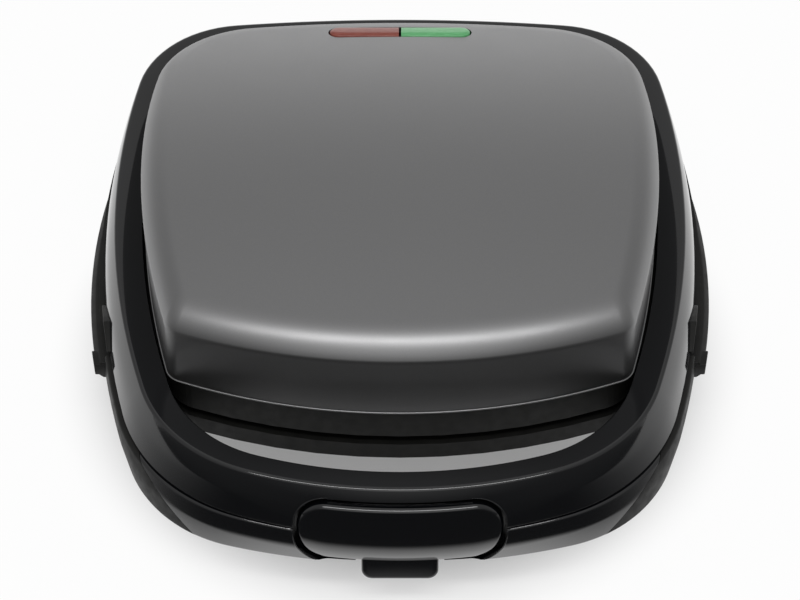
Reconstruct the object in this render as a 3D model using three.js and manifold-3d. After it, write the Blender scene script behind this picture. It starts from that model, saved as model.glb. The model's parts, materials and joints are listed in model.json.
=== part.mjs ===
// Sandwich maker with a hinged lid, two removable toast plates, a front latch and a closed handle loop.
// Millimetres, +Z up, front towards -Y. The origin is on the floor, under the middle of the outer box.

import * as THREE from "three";
import { mergeVertices } from "three/addons/utils/BufferGeometryUtils.js";
import Module from "manifold-3d";

const wasm = await Module();
wasm.setup();

// Clearances
const seatGap = 0.3;
const runGap = 0.5;
const cutOver = 3;
const weldReach = 0.0001;

// Heights of the main levels above the floor
const baseFloor = 4.6;
const baseRimLow = 33.2;
const baseRimTop = 41.2;
const baseSideTop = 44.2;
const handleTop = 46.6;
const ringBottom = 47;
const ringInnerTop = 60.5;
const ringCrease = 63.6;
const lidSkirtLow = 45.9;
const lidLip = 60;
const lidTop = 97;
const platePartition = 43.5;

// Half width and reaches of the whole body, and how far the main outlines stand in from them
const bodyHalf = 120;
const bodyFront = 132.6;
const bodyBack = 134;
const halfInset = {
  ring: 7, flare: 2, under: 1.4, cover: 18.5, crown: 29.5, tub: 19.4, tubFloor: 28, plate: 28,
};
const frontInset = {
  ring: 9.6, flare: 0.3, under: 3.2, wing: 4.6, cover: 47.5, crown: 62.4,
  tub: 48.4, tubFloor: 78.6, plate: 56.6,
};
const backInset = {
  ring: 0.4, loop: 19.2, under: 24, wing: 21, cover: 11.8, crown: 23, tub: 18.8, tubFloor: 25, plate: 58,
};
const wingProud = 2.6;

// Plan outlines: each one is a closed loop of tangent arcs, the same on both sides.
// half is the half width, sideAt the place of the widest point, front and back the reaches.
const ringOutline = {
  half: bodyHalf - halfInset.ring, sideAt: 36,
  front: bodyFront - frontInset.ring, back: bodyBack - backInset.ring,
  sideRadius: 360, frontRadius: 187, backRadius: 661, frontCorner: 62, backCorner: 44,
};
const flareOutline = {
  half: bodyHalf - halfInset.flare, sideAt: 26,
  front: bodyFront - frontInset.flare, back: bodyBack,
  sideRadius: 362, frontRadius: 178, backRadius: 661, frontCorner: 70, backCorner: 46,
};
const loopOutline = {
  half: bodyHalf, sideAt: 25,
  front: bodyFront, back: bodyBack - backInset.loop,
  sideRadius: 362, frontRadius: 190, backRadius: 900, frontCorner: 70, backCorner: 40,
};
const underOutline = {
  half: bodyHalf - halfInset.under, sideAt: 25,
  front: bodyFront - frontInset.under, back: bodyBack - backInset.under,
  sideRadius: 362, frontRadius: 250, backRadius: 900, frontCorner: 55, backCorner: 36,
};
const wingOutline = {
  half: bodyHalf + wingProud, sideAt: 10,
  front: bodyFront - frontInset.wing, back: bodyBack - backInset.wing,
  sideRadius: 260, frontRadius: 190, backRadius: 900, frontCorner: 70, backCorner: 40,
};
const coverOutline = {
  half: bodyHalf - halfInset.cover, sideAt: 43,
  front: bodyFront - frontInset.cover, back: bodyBack - backInset.cover,
  sideRadius: 400, frontRadius: 225, backRadius: 700, frontCorner: 16, backCorner: 42,
};
const crownOutline = {
  half: bodyHalf - halfInset.crown, sideAt: 43,
  front: bodyFront - frontInset.crown, back: bodyBack - backInset.crown,
  sideRadius: 389, frontRadius: 210, backRadius: 688, frontCorner: 5, backCorner: 30,
};
const tubOutline = {
  half: bodyHalf - halfInset.tub, sideAt: 43,
  front: bodyFront - frontInset.tub, back: bodyBack - backInset.tub,
  sideRadius: 400, frontRadius: 225, backRadius: 900, frontCorner: 16, backCorner: 36,
};
const tubFloorOutline = {
  half: bodyHalf - halfInset.tubFloor, sideAt: 43,
  front: bodyFront - frontInset.tubFloor, back: bodyBack - backInset.tubFloor,
  sideRadius: 400, frontRadius: 225, backRadius: 900, frontCorner: 30, backCorner: 30,
};
const plateOutline = {
  half: bodyHalf - halfInset.plate, sideAt: 43,
  front: bodyFront - frontInset.plate, back: bodyBack - backInset.plate,
  sideRadius: 400, frontRadius: 225, backRadius: 900, frontCorner: 14, backCorner: 14,
};

// Steps along each arc of a half outline, from the back round to the front
const arcSteps = { back: 3, backCorner: 5, side: 5, frontCorner: 6, front: 5 };

// Lid cover
const coverWall = 2.4;
const shoulderShare = 1.15;
const bendRadius = 4;
const bendTurn = 33;
const bendSteps = 2;
const crownAlong = 475;
const crownAcross = 1500;
const crownApex = -20;
const shoulderSteps = 4;
const innerShoulderSteps = 2;
const crownShares = [0.72, 0.42, 0.12];

// Handle ring of the lid
const ringFace = 10.8;
const creaseRound = 0.9;
const ringFootWidth = 9.5;
const ringFootBevel = 1;
const flareRise = 1.2;

// Handle loop of the base
const loopBelly = 38.5;
const loopUnder = 28;
const loopBottom = 25.5;
const loopBellyGrow = 0.6;
const loopBottomInset = 3.5;
const loopTopInset = 1.6;
const loopInnerInset = 17.5;
const loopInnerLowInset = 9.5;
const loopShoulder = 45;
const loopShoulderInset = 0.2;
const handleLowIn = 50;
const handleHighIn = 21;
const handleHalfLow = bodyHalf - handleLowIn;
const handleHalfHigh = bodyHalf - handleHighIn;
const handleLong = 72.6;

// Shell and inner frames
const tubWall = 2.6;
const floorRound = 2;
const skirtInset = 1;
const flangeInset = 3;
const flangeLow = 44.9;
const flangeLap = 3;
const flangeFront = -44;
const flankFront = -56;
const plateSeat = 3.5;
const carrierFloor = 3;
const wellHalf = 56;
const wellGap = 6;
const wellDeep = 16;
const wellFront = plateOutline.back + wellGap;
const wellBack = wellFront + wellDeep;

// Side wings of the base
const wingFront = -46;
const wingBack = 80;
const wingTop = 43.6;
const wingLow = 35;
const wingRound = 2.2;

// Hinge
const hingeIn = 22;
const hingeY = bodyBack - hingeIn;
const hingeZ = 37.5;
const hingeSideIn = 60;
const hingeX = bodyHalf - hingeSideIn;
const knuckleWidth = 16;
const knuckleRadius = 6.2;
const pinRadius = 2;
const pinLength = 28;
const neckDepth = 9;
const hingeBlockHalf = 17;
const hingeWall = 3;
const hingeDrop = 14;
const hingeRoomGap = 3.3;
const hingeTopLong = 12;

// Plates
const plateThick = 11;
const plateGap = 0.3;
const plateRim = 1.7;
const pocketDepth = 8.5;
const pocketCorner = 12;
const pocketDraft = 4;
const pocketRound = 1.5;
const pocketSplit = 9;
const pocketFrontRim = 16;
const pocketBackRim = 10;
const pocketSideRim = 8;
const pocketInnerX = 6;
const pocketFrontIn = 10;
const cornerSteps = 3;

// Heating elements
const elementRadius = 3.2;
const elementSideIn = 32;
const elementFrontIn = 26;
const elementBackIn = 30;
const elementX = plateOutline.half - elementSideIn;
const elementFrontY = elementFrontIn - plateOutline.front;
const elementBackY = plateOutline.back - elementBackIn;
const elementBend = 20;
const elementTailX = 14;
const elementTailIn = 14;
const elementTailY = plateOutline.back - elementTailIn;
const elementTailBend = 12;
const elementSides = 8;
const elementSteps = 36;

// Reflectors
const sheet = 0.8;
const reflectorInset = 7;
const reflectorDraft = 5;
const reflectorLip = 5;
const reflectorLow = 24;
const lidReflectorRise = 2.8;

// Latch
const latchWidth = 74.6;
const latchTall = 25.4;
const latchThick = 5.2;
const latchLean = 16;
const latchCentreZ = 48.4;
const latchFaceIn = 2;
const latchFaceY = latchFaceIn - bodyFront;
const latchCrown = 2.4;
const latchBend = 185;
const latchEdgeSteps = 8;
const latchRound = 1.2;
const latchEdgeShares = [0.5, 1];
const latchCrownShares = [0.8, 0.55, 0.2];
const recessGrow = 1.4;
const recessDeep = 2.4;
const tabWidth = 28;
const tabThick = 3;
const tabLow = 21;
const tabFaceIn = 1;
const tabFaceY = tabFaceIn - bodyFront;
const tabCorner = 4;
const notchWidth = 32.4;
const notchDeep = 11.6;
const notchBack = notchDeep - bodyFront;
const latchPivotZ = 58.1;
const latchPivotIn = 10.8;
const latchPivotY = latchPivotIn - bodyFront;
const latchEarWidth = 5;
const latchEarX = 16;
const latchEarRadius = 2.8;
const latchEarReach = 5;
const latchPinRadius = 1.3;
const latchPinLong = 52;

// Plate release buttons
const releaseTravel = 3;
const releaseProud = 0.8;
const lidReleaseBack = -20.5;
const lidReleaseFront = -45;
const lidReleasePeak = -33;
const lidReleaseLow = 47.8;
const lidReleaseTall = 5.4;
const lidReleaseEnd = 1.4;
const lidReleaseLong = 17;
const lidReleaseInner = flareOutline.half - lidReleaseLong;
const baseReleaseBack = -38.4;
const baseReleaseFront = -46;
const baseReleaseLow = 37;
const baseReleaseTall = 5.6;
const baseReleaseLong = 17.6;
const baseReleaseInner = wingOutline.half - baseReleaseLong;

// Signal lamps
const lampWide = 59;
const lampDeep = 8.6;
const lampIn = 16.9;
const lampY = coverOutline.back - lampIn;
const lampGap = 1;
const lensThick = 3.2;
const lensProud = 0.4;
const lampHolderHalf = 26;
const lampHolderDrop = 9;
const neonRadius = 2.6;
const neonLong = 12;

// Electrical pieces
const thermostatRadius = 9;
const thermostatTall = 7;
const thermostatY = 20;
const terminalWide = 34;
const terminalDeep = 13;
const terminalTall = 12;
const terminalIn = 17;
const terminalY = tubFloorOutline.back - terminalIn;
const inletRadius = 7.5;
const inletBore = 3.6;
const inletZ = 18;
const inletFlangeIn = 5.4;
const inletFlangeY = loopOutline.back - inletFlangeIn;
const inletChamfer = 0.8;
const inletFlange = 10;
const inletLong = 10;
const inletFlangeThick = 2;
const fuseRadius = 2.4;
const fuseLong = 22;
const fuseIn = 16;
const fuseY = plateOutline.back - fuseIn;

// Feet and screws
const footRadius = 8;
const footTopRadius = 6.4;
const footSideIn = 22;
const footFrontIn = 18;
const footRearIn = 13;
const footX = tubFloorOutline.half - footSideIn;
const footFrontY = footFrontIn - tubFloorOutline.front;
const footRearY = tubFloorOutline.back - footRearIn;
const footSocket = 1.6;
const footChamfer = 1;
const screwHead = 3.6;
const screwShank = 1.6;
const screwHeadTall = 2.2;
const screwLong = 14;
const bossRadius = 5;
const screwSideIn = 12;
const screwX = tubFloorOutline.half - screwSideIn;
const screwFrontY = -12;
const screwRearY = 68;

// Facets of round pieces
const roundSteps = 20;
const footSteps = 16;
const smallSteps = 10;
const pillSteps = 6;

// Materials
const finish = (name, color, roughness, metalness = 0) =>
  new THREE.MeshStandardMaterial({ name, color, roughness, metalness });
const mattBlack = finish("matt_black", 0x24241f, 0.6);
const glossBlack = finish("gloss_black", 0x17181c, 0.12);
const greyPaint = finish("grey_paint", 0x66666a, 0.28, 0.55);
const castPlate = finish("nonstick_plate", 0x2b2b2d, 0.45, 0.3);
const aluminium = finish("aluminium", 0xb9bbbd, 0.35, 1);
const steel = finish("steel", 0x9a9c9e, 0.3, 1);
const rubber = finish("rubber", 0x1b1b1b, 0.9);
const ceramic = finish("ceramic", 0xd8d3c8, 0.6);
const redLens = finish("red_lens", 0x8c3a35, 0.25);
const greenLens = finish("green_lens", 0x4fa873, 0.25);
const glass = finish("neon_glass", 0xe6b890, 0.1);

// Solids: a closed three.js geometry becomes a manifold, and the other way round

function toSolid(geometry) {
  const bare = geometry.clone();
  bare.deleteAttribute("normal");
  bare.deleteAttribute("uv");
  const merged = mergeVertices(bare, weldReach);
  const vertProperties = new Float32Array(merged.attributes.position.array);
  const triVerts = new Uint32Array(merged.index.array);
  return new wasm.Manifold(new wasm.Mesh({ numProp: 3, vertProperties, triVerts }));
}

function toGeometry(solid) {
  const mesh = solid.getMesh();
  const geometry = new THREE.BufferGeometry();
  geometry.setAttribute("position", new THREE.BufferAttribute(mesh.vertProperties, mesh.numProp));
  geometry.setIndex(new THREE.BufferAttribute(mesh.triVerts, 1));
  geometry.computeVertexNormals();
  return geometry;
}

const joined = (first, ...rest) => rest.reduce((sum, item) => sum.add(item), first);
const cut = (first, ...rest) => rest.reduce((sum, item) => sum.subtract(item), first);

function mirrored(solid) {
  const geometry = toGeometry(solid).clone();
  geometry.scale(-1, 1, 1);
  const index = geometry.index.array;
  for (let i = 0; i < index.length; i += 3) {
    [index[i], index[i + 1]] = [index[i + 1], index[i]];
  }
  return toSolid(geometry);
}

// A box between two corners
function boxSolid(x0, x1, y0, y1, z0, z1) {
  const geometry = new THREE.BoxGeometry(x1 - x0, y1 - y0, z1 - z0);
  geometry.translate((x0 + x1) / 2, (y0 + y1) / 2, (z0 + z1) / 2);
  return toSolid(geometry);
}

// A turned piece: the profile gives radius and height, and starts and ends on the axis
function turned(profile, steps = roundSteps) {
  const points = profile.map(([radius, height]) => new THREE.Vector2(radius, height));
  const geometry = new THREE.LatheGeometry(points, steps);
  geometry.rotateX(Math.PI / 2);
  return geometry;
}

function rod(radius, length, steps = roundSteps) {
  return turned([[0, 0], [radius, 0], [radius, length], [0, length]], steps);
}

function rodAlongX(radius, x0, x1, y, z, steps = roundSteps) {
  const geometry = rod(radius, x1 - x0, steps);
  geometry.rotateY(Math.PI / 2);
  geometry.translate(x0, y, z);
  return toSolid(geometry);
}

function rodAlongY(radius, y0, y1, x, z, steps = roundSteps) {
  const geometry = rod(radius, y1 - y0, steps);
  geometry.rotateX(-Math.PI / 2);
  geometry.translate(x, y0, z);
  return toSolid(geometry);
}

function rodAlongZ(radius, z0, z1, x, y, steps = roundSteps) {
  const geometry = rod(radius, z1 - z0, steps);
  geometry.translate(x, y, z0);
  return toSolid(geometry);
}

// Outlines

// Centre of the circle of radius r that touches two circles from the inside, on the +X side
function cornerCentre(c1, r1, c2, r2, r) {
  const d1 = r1 - r;
  const d2 = r2 - r;
  const across = c2.clone().sub(c1);
  const span = across.length();
  const along = (d1 * d1 - d2 * d2 + span * span) / (2 * span);
  const high = Math.sqrt(Math.max(d1 * d1 - along * along, 0));
  const foot = c1.clone().addScaledVector(across, along / span);
  const square = new THREE.Vector2(-across.y, across.x).divideScalar(span);
  const a = foot.clone().addScaledVector(square, high);
  const b = foot.clone().addScaledVector(square, -high);
  return a.x > b.x ? a : b;
}

// Points of an outline, set in by inset, anticlockwise from the middle of the back
function outlinePoints(o, inset = 0) {
  const backCentre = new THREE.Vector2(0, o.back - o.backRadius);
  const sideCentre = new THREE.Vector2(o.half - o.sideRadius, o.sideAt);
  const frontCentre = new THREE.Vector2(0, o.frontRadius - o.front);
  const backCorner = cornerCentre(backCentre, o.backRadius, sideCentre, o.sideRadius, o.backCorner);
  const frontCorner = cornerCentre(frontCentre, o.frontRadius, sideCentre, o.sideRadius, o.frontCorner);
  const heading = (from, to) => Math.atan2(to.y - from.y, to.x - from.x);
  const turns = [
    heading(backCentre, backCorner),
    heading(sideCentre, backCorner),
    heading(sideCentre, frontCorner),
    heading(frontCentre, frontCorner),
  ];
  const arcs = [
    [backCentre, o.backRadius, Math.PI / 2, turns[0], arcSteps.back],
    [backCorner, o.backCorner, turns[0], turns[1], arcSteps.backCorner],
    [sideCentre, o.sideRadius, turns[1], turns[2], arcSteps.side],
    [frontCorner, o.frontCorner, turns[2], turns[3], arcSteps.frontCorner],
    [frontCentre, o.frontRadius, turns[3], -Math.PI / 2, arcSteps.front],
  ];
  const right = [];
  for (const [centre, radius, from, to, steps] of arcs) {
    for (let i = 0; i < steps; i += 1) {
      const angle = from + ((to - from) * i) / steps;
      const reach = radius - inset;
      right.push(new THREE.Vector2(centre.x + reach * Math.cos(angle), centre.y + reach * Math.sin(angle)));
    }
  }
  const bottom = new THREE.Vector2(0, inset - o.front);
  const left = right.slice(1).map((p) => new THREE.Vector2(-p.x, p.y));
  return [right[0], ...left, bottom, ...right.slice(1).reverse()];
}

const atHeight = (points, z) => points.map((p) => new THREE.Vector3(p.x, p.y, z));

// Closed surface through loops with equally many points. A ring joins the last loop to the first;
// otherwise both ends are closed by flat caps.
function loft(loops, ring = false) {
  const count = loops[0].length;
  const positions = loops.flat().flatMap((p) => [p.x, p.y, p.z]);
  const index = [];
  const last = ring ? loops.length : loops.length - 1;
  for (let k = 0; k < last; k += 1) {
    const a = k * count;
    const b = ((k + 1) % loops.length) * count;
    for (let i = 0; i < count; i += 1) {
      const j = (i + 1) % count;
      index.push(a + i, a + j, b + j, a + i, b + j, b + i);
    }
  }
  if (!ring) {
    const flat = (loop) => loop.map((p) => new THREE.Vector2(p.x, p.y));
    const end = (loops.length - 1) * count;
    for (const [a, b, c] of THREE.ShapeUtils.triangulateShape(flat(loops[0]), [])) {
      index.push(c, b, a);
    }
    for (const [a, b, c] of THREE.ShapeUtils.triangulateShape(flat(loops.at(-1)), [])) {
      index.push(end + a, end + b, end + c);
    }
  }
  const geometry = new THREE.BufferGeometry();
  geometry.setAttribute("position", new THREE.Float32BufferAttribute(positions, 3));
  geometry.setIndex(index);
  return facingOut(geometry);
}

// Turns all faces round where they enclose a negative volume
function facingOut(geometry) {
  const p = geometry.attributes.position;
  const index = geometry.index.array;
  const [a, b, c] = [new THREE.Vector3(), new THREE.Vector3(), new THREE.Vector3()];
  let volume = 0;
  for (let i = 0; i < index.length; i += 3) {
    a.fromBufferAttribute(p, index[i]);
    b.fromBufferAttribute(p, index[i + 1]);
    c.fromBufferAttribute(p, index[i + 2]);
    volume += a.dot(b.cross(c));
  }
  if (volume < 0) {
    for (let i = 0; i < index.length; i += 3) {
      [index[i], index[i + 1]] = [index[i + 1], index[i]];
    }
  }
  return geometry;
}

// A prism on an outline
function slab(outline, inset, z0, z1) {
  const points = outlinePoints(outline, inset);
  return toSolid(loft([atHeight(points, z0), atHeight(points, z1)]));
}

// Lid cover: nearly upright wall, tight bend, wide shoulder and crowned top, as a shell

const crownHeight = (x, y, lower) =>
  lidTop - lower - (x * x) / (2 * crownAcross) - (y - crownApex) ** 2 / (2 * crownAlong);

// Points of an arc in a side view, each with its reach and its height
function sideArc(reach, height, radius, from, to, steps) {
  return Array.from({ length: steps + 1 }, (_, i) => {
    const angle = from + ((to - from) * i) / steps;
    return new THREE.Vector2(reach + radius * Math.cos(angle), height + radius * Math.sin(angle));
  });
}

// Bend and shoulder between one point of the lip and one of the crown's outline
function shoulderPoints(foot, crown, wall, steps) {
  const out = foot.clone().sub(crown).normalize();
  const slope = (crown.x / crownAcross) * out.x + ((crown.y - crownApex) / crownAlong) * out.y;
  const lean = Math.atan(slope);
  const turn = THREE.MathUtils.degToRad(bendTurn);
  const span = foot.distanceTo(crown);
  const wide = shoulderShare * (span + wall) - wall;
  const tight = bendRadius - wall;
  const reach = -wide * Math.sin(lean);
  const height = crownHeight(crown.x, crown.y, wall) - wide * Math.cos(lean);
  const bendReach = reach + (wide - tight) * Math.cos(turn);
  const bendHeight = height + (wide - tight) * Math.sin(turn);
  const toFoot = new THREE.Vector2(span - bendReach, lidLip - bendHeight);
  const start = Math.atan2(toFoot.y, toFoot.x) + Math.acos(tight / toFoot.length());
  return [
    ...sideArc(bendReach, bendHeight, tight, start, turn, bendSteps),
    ...sideArc(reach, height, wide, turn, Math.PI / 2 - lean, steps).slice(1),
  ].map((p) => new THREE.Vector3(crown.x + out.x * p.x, crown.y + out.y * p.x, p.y));
}

// Loops of the cover's skin, set in by wall, from the lip to the middle of the top
function coverLoops(wall, steps) {
  const foot = outlinePoints(coverOutline, wall);
  const crown = outlinePoints(crownOutline);
  const sides = foot.map((p, i) => shoulderPoints(p, crown[i], wall, steps));
  const loops = [atHeight(foot, lidLip), ...sides[0].map((_, k) => sides.map((side) => side[k]))];
  const middle = (crownOutline.back - crownOutline.front) / 2;
  for (const share of crownShares) {
    loops.push(crown.map((p) => {
      const x = p.x * share;
      const y = middle + (p.y - middle) * share;
      return new THREE.Vector3(x, y, crownHeight(x, y, wall));
    }));
  }
  return loops;
}

// A bar with rounded corners, fully rounded at both ends unless a corner is given
function pillShape(width, tall, corner = tall / 2) {
  const x = width / 2 - corner;
  const y = tall / 2 - corner;
  const shape = new THREE.Shape();
  shape.moveTo(-x, -y - corner);
  shape.lineTo(x, -y - corner);
  shape.absarc(x, -y, corner, -Math.PI / 2, 0);
  shape.absarc(x, y, corner, 0, Math.PI / 2);
  shape.lineTo(-x, y + corner);
  shape.absarc(-x, y, corner, Math.PI / 2, Math.PI);
  shape.absarc(-x, -y, corner, Math.PI, 1.5 * Math.PI);
  return shape;
}

function pill(width, tall, depth, corner = tall / 2) {
  return new THREE.ExtrudeGeometry(pillShape(width, tall, corner), {
    depth, bevelEnabled: false, curveSegments: pillSteps,
  });
}

// The lamps stand square on the slope of the top where they are let in
const lampSlope = Math.atan((lampY - crownApex) / crownAlong);
const lampZ = crownHeight(0, lampY, 0);

function onLampSlope(geometry, lift) {
  geometry.translate(0, 0, lift);
  geometry.rotateX(-lampSlope);
  geometry.translate(0, lampY, lampZ);
  return toSolid(geometry);
}

function lampWindow() {
  const deep = lensThick + coverWall + cutOver;
  return onLampSlope(pill(lampWide + 2 * seatGap, lampDeep + 2 * seatGap, deep + cutOver), -deep);
}

function makeCover() {
  const outer = coverLoops(0, shoulderSteps).reverse();
  const inner = coverLoops(coverWall, innerShoulderSteps);
  return cut(toSolid(loft([...outer, ...inner])), lampWindow());
}

// One lens fills its half of the window, and stands a little proud of the top
function makeLens(side) {
  const whole = onLampSlope(pill(lampWide, lampDeep, lensThick + lensProud), -lensThick);
  const [near, far] = [lampGap / 2, lampWide];
  const top = lampZ + cutOver + lampDeep;
  const [x0, x1] = side > 0 ? [near, far] : [-far, -near];
  const half = boxSolid(x0, x1, lampY - lampDeep, lampY + lampDeep, lampZ - lensThick - lampDeep, top);
  return whole.intersect(half);
}

// Latch placement: local X is across, Y runs up the leaning front, and Z points out of it.
// The whole face is bent to the round front of the handles.
function onLatchFace(geometry) {
  geometry.rotateX(THREE.MathUtils.degToRad(90 - latchLean));
  geometry.translate(0, latchFaceY, latchCentreZ);
  const points = geometry.attributes.position;
  for (let i = 0; i < points.count; i += 1) {
    points.setY(i, points.getY(i) + points.getX(i) ** 2 / (2 * latchBend));
  }
  return toSolid(geometry);
}

// Points of a pill with its long edges in short steps, so that it can be bent
function pillLoop(width, tall) {
  const round = tall / 2;
  const straight = width / 2 - round;
  const points = [];
  for (const side of [1, -1]) {
    for (let i = 0; i <= 2 * pillSteps; i += 1) {
      const angle = (Math.PI * i) / (2 * pillSteps) - Math.PI / 2;
      const [across, up] = [straight + round * Math.cos(angle), round * Math.sin(angle)];
      points.push(new THREE.Vector2(side * across, side * up));
    }
    for (let i = 1; i < latchEdgeSteps; i += 1) {
      const share = 1 - (2 * i) / latchEdgeSteps;
      points.push(new THREE.Vector2(side * straight * share, side * round));
    }
  }
  return points;
}

function latchRecess() {
  const points = pillLoop(latchWidth + 2 * recessGrow, latchTall + 2 * recessGrow);
  const [low, high] = [-latchThick - recessDeep, latchCrown + cutOver];
  return onLatchFace(loft([atHeight(points, low), atHeight(points, high)]));
}

// The crowned bar of the latch, with a rolled edge
function latchBar() {
  const points = pillLoop(latchWidth, latchTall);
  const straight = (latchWidth - latchTall) / 2;
  const scaled = (share, z) => points.map((p) => {
    const pull = Math.sign(p.x) * Math.min(Math.abs(p.x), straight);
    return new THREE.Vector3(pull + (p.x - pull) * share, p.y * share, z);
  });
  const loops = [scaled(1, -latchThick), scaled(1, -latchRound)];
  for (const share of latchEdgeShares) {
    const edge = 1 - (latchRound * share * 2) / latchTall;
    loops.push(scaled(edge, latchCrown * (1 - edge * edge) - latchRound * (1 - share) ** 2));
  }
  for (const share of latchCrownShares) {
    loops.push(scaled(share, latchCrown * (1 - share * share)));
  }
  return onLatchFace(loft(loops));
}

function makeLatch() {
  const tabTop = latchCentreZ - latchTall / 4;
  const tab = pill(tabWidth, tabTop - tabLow, tabThick, tabCorner);
  tab.rotateX(Math.PI / 2);
  tab.translate(0, tabFaceY + tabThick, (tabTop + tabLow) / 2);
  const parts = [latchBar(), toSolid(tab)];
  for (const side of [-1, 1]) {
    const x = side * latchEarX;
    const [x0, x1] = [x - latchEarWidth / 2, x + latchEarWidth / 2];
    parts.push(rodAlongX(latchEarRadius, x0, x1, latchPivotY, latchPivotZ));
    parts.push(boxSolid(x0, x1, latchPivotY - latchEarReach, latchPivotY,
      latchPivotZ - latchEarRadius, latchPivotZ + latchEarRadius / 2));
  }
  const bore = rodAlongX(latchPinRadius + seatGap, -latchPinLong, latchPinLong, latchPivotY, latchPivotZ);
  return cut(joined(...parts), bore);
}

// Room in the ring for the ears of the latch, and the blind bore of its pin
function latchPocket() {
  const room = latchEarRadius + runGap;
  const parts = [];
  for (const side of [-1, 1]) {
    const x = side * latchEarX;
    const [x0, x1] = [x - latchEarWidth / 2 - runGap, x + latchEarWidth / 2 + runGap];
    parts.push(rodAlongX(room, x0, x1, latchPivotY, latchPivotZ));
    parts.push(boxSolid(x0, x1, latchFaceY, latchPivotY, latchPivotZ - room, latchPivotZ + room));
  }
  const reach = latchPinLong / 2 + seatGap;
  parts.push(rodAlongX(latchPinRadius + seatGap, -reach, reach, latchPivotY, latchPivotZ));
  return joined(...parts);
}

// Lid handle ring with its latch recess and the notches for the lid's release buttons
function makeRing() {
  const bar = toSolid(loft([
    atHeight(outlinePoints(ringOutline, ringFace), ringInnerTop),
    atHeight(outlinePoints(ringOutline, creaseRound), ringCrease),
    atHeight(outlinePoints(ringOutline), ringCrease - creaseRound),
    atHeight(outlinePoints(flareOutline), ringBottom + flareRise),
    atHeight(outlinePoints(flareOutline, ringFootBevel), ringBottom),
    atHeight(outlinePoints(ringOutline, ringFootWidth), ringBottom),
  ], true));
  const room = slab(coverOutline, -runGap, ringBottom - cutOver, ringCrease + cutOver);
  return cut(bar, room, latchRecess(), latchPocket(), ...bothSides(lidReleaseSolid(runGap)));
}

const bothSides = (solid) => [solid, mirrored(solid)];

// A prism of a side view: points are pairs of Y and Z, extruded along X
function sidePrism(points, x0, x1) {
  const shape = new THREE.Shape(points.map(([y, z]) => new THREE.Vector2(y, z)));
  const geometry = new THREE.ExtrudeGeometry(shape, { depth: x1 - x0, bevelEnabled: false });
  geometry.applyMatrix4(new THREE.Matrix4().set(
    0, 0, 1, x0,
    1, 0, 0, 0,
    0, 1, 0, 0,
    0, 0, 0, 1,
  ));
  return toSolid(geometry);
}

// Wedge-shaped release button of the upper plate, on the right side. With room, its notch.
function lidReleaseSolid(room = 0) {
  const low = room ? ringBottom - cutOver : lidReleaseLow;
  const [back, front] = [lidReleaseBack + room, lidReleaseFront - room];
  const points = [
    [back, low],
    [front, low],
    [front, lidReleaseLow + lidReleaseEnd + room],
    [lidReleasePeak, lidReleaseLow + lidReleaseTall + room],
    [back, lidReleaseLow + lidReleaseEnd + room],
  ];
  if (room) {
    return sidePrism(points, lidReleaseInner - room - releaseTravel, flareOutline.half + cutOver);
  }
  const face = slab(flareOutline, -releaseProud, ringBottom, ringCrease);
  return sidePrism(points, lidReleaseInner, flareOutline.half + cutOver).intersect(face);
}

// Release button of the lower plate, at the front end of the right wing. With room, its notch.
function baseReleaseSolid(room = 0) {
  const inner = baseReleaseInner - (room ? room + releaseTravel : 0);
  const block = boxSolid(inner, wingOutline.half + cutOver, baseReleaseFront - room, baseReleaseBack + room,
    baseReleaseLow - room, baseReleaseLow + baseReleaseTall + room);
  return room ? block : block.intersect(slab(wingOutline, -releaseProud, loopUnder, handleTop));
}

// Inner frame of the lid: skirt round the upper plate, flange under the ring, hinge knuckles
function makeLidCarrier() {
  const skirt = slab(coverOutline, skirtInset, lidSkirtLow, lidLip - seatGap);
  const flange = cut(
    slab(flareOutline, flangeInset, flangeLow, ringBottom - seatGap),
    slab(coverOutline, skirtInset + flangeLap, flangeLow - cutOver, ringBottom + cutOver),
    boxSolid(-flareOutline.half, flareOutline.half, -flareOutline.front, flangeFront,
      flangeLow - cutOver, ringBottom + cutOver),
  );
  const knuckles = [];
  for (const side of [-1, 1]) {
    const x = side * hingeX;
    const [x0, x1] = [x - knuckleWidth / 2, x + knuckleWidth / 2];
    knuckles.push(rodAlongX(knuckleRadius, x0, x1, hingeY, hingeZ));
    knuckles.push(boxSolid(x0, x1, hingeY - neckDepth / 2, hingeY + neckDepth / 2,
      hingeZ, lidSkirtLow + skirtInset));
  }
  const opening = slab(plateOutline, plateSeat, flangeLow - cutOver, lidLip + cutOver);
  const well = boxSolid(-wellHalf, wellHalf, wellFront, wellBack,
    lidSkirtLow + carrierFloor, lidLip + cutOver);
  const bores = rodAlongX(pinRadius + seatGap, -coverOutline.half, coverOutline.half, hingeY, hingeZ);
  return cut(joined(skirt, flange, ...knuckles), opening, well, bores);
}

// Inner frame of the base: the matt rim on which the lower plate lies
function makeBaseCarrier() {
  const body = slab(tubOutline, 0, baseRimLow + seatGap, baseRimTop);
  const opening = slab(plateOutline, plateSeat, baseRimLow - cutOver, baseRimTop + cutOver);
  const well = boxSolid(-wellHalf, wellHalf, wellFront, wellBack,
    baseRimLow - cutOver, baseRimTop - carrierFloor);
  const hinges = bothSides(hingeRoom(hingeBlockHalf + runGap));
  return cut(body, opening, well, ...hinges);
}

// Space round a hinge, from the middle of the knuckle out to the given half width
function hingeRoom(half) {
  const clear = knuckleRadius + hingeRoomGap;
  return boxSolid(hingeX - half, hingeX + half, hingeY - clear, tubOutline.back + cutOver,
    hingeZ - clear, baseRimTop + cutOver);
}

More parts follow.
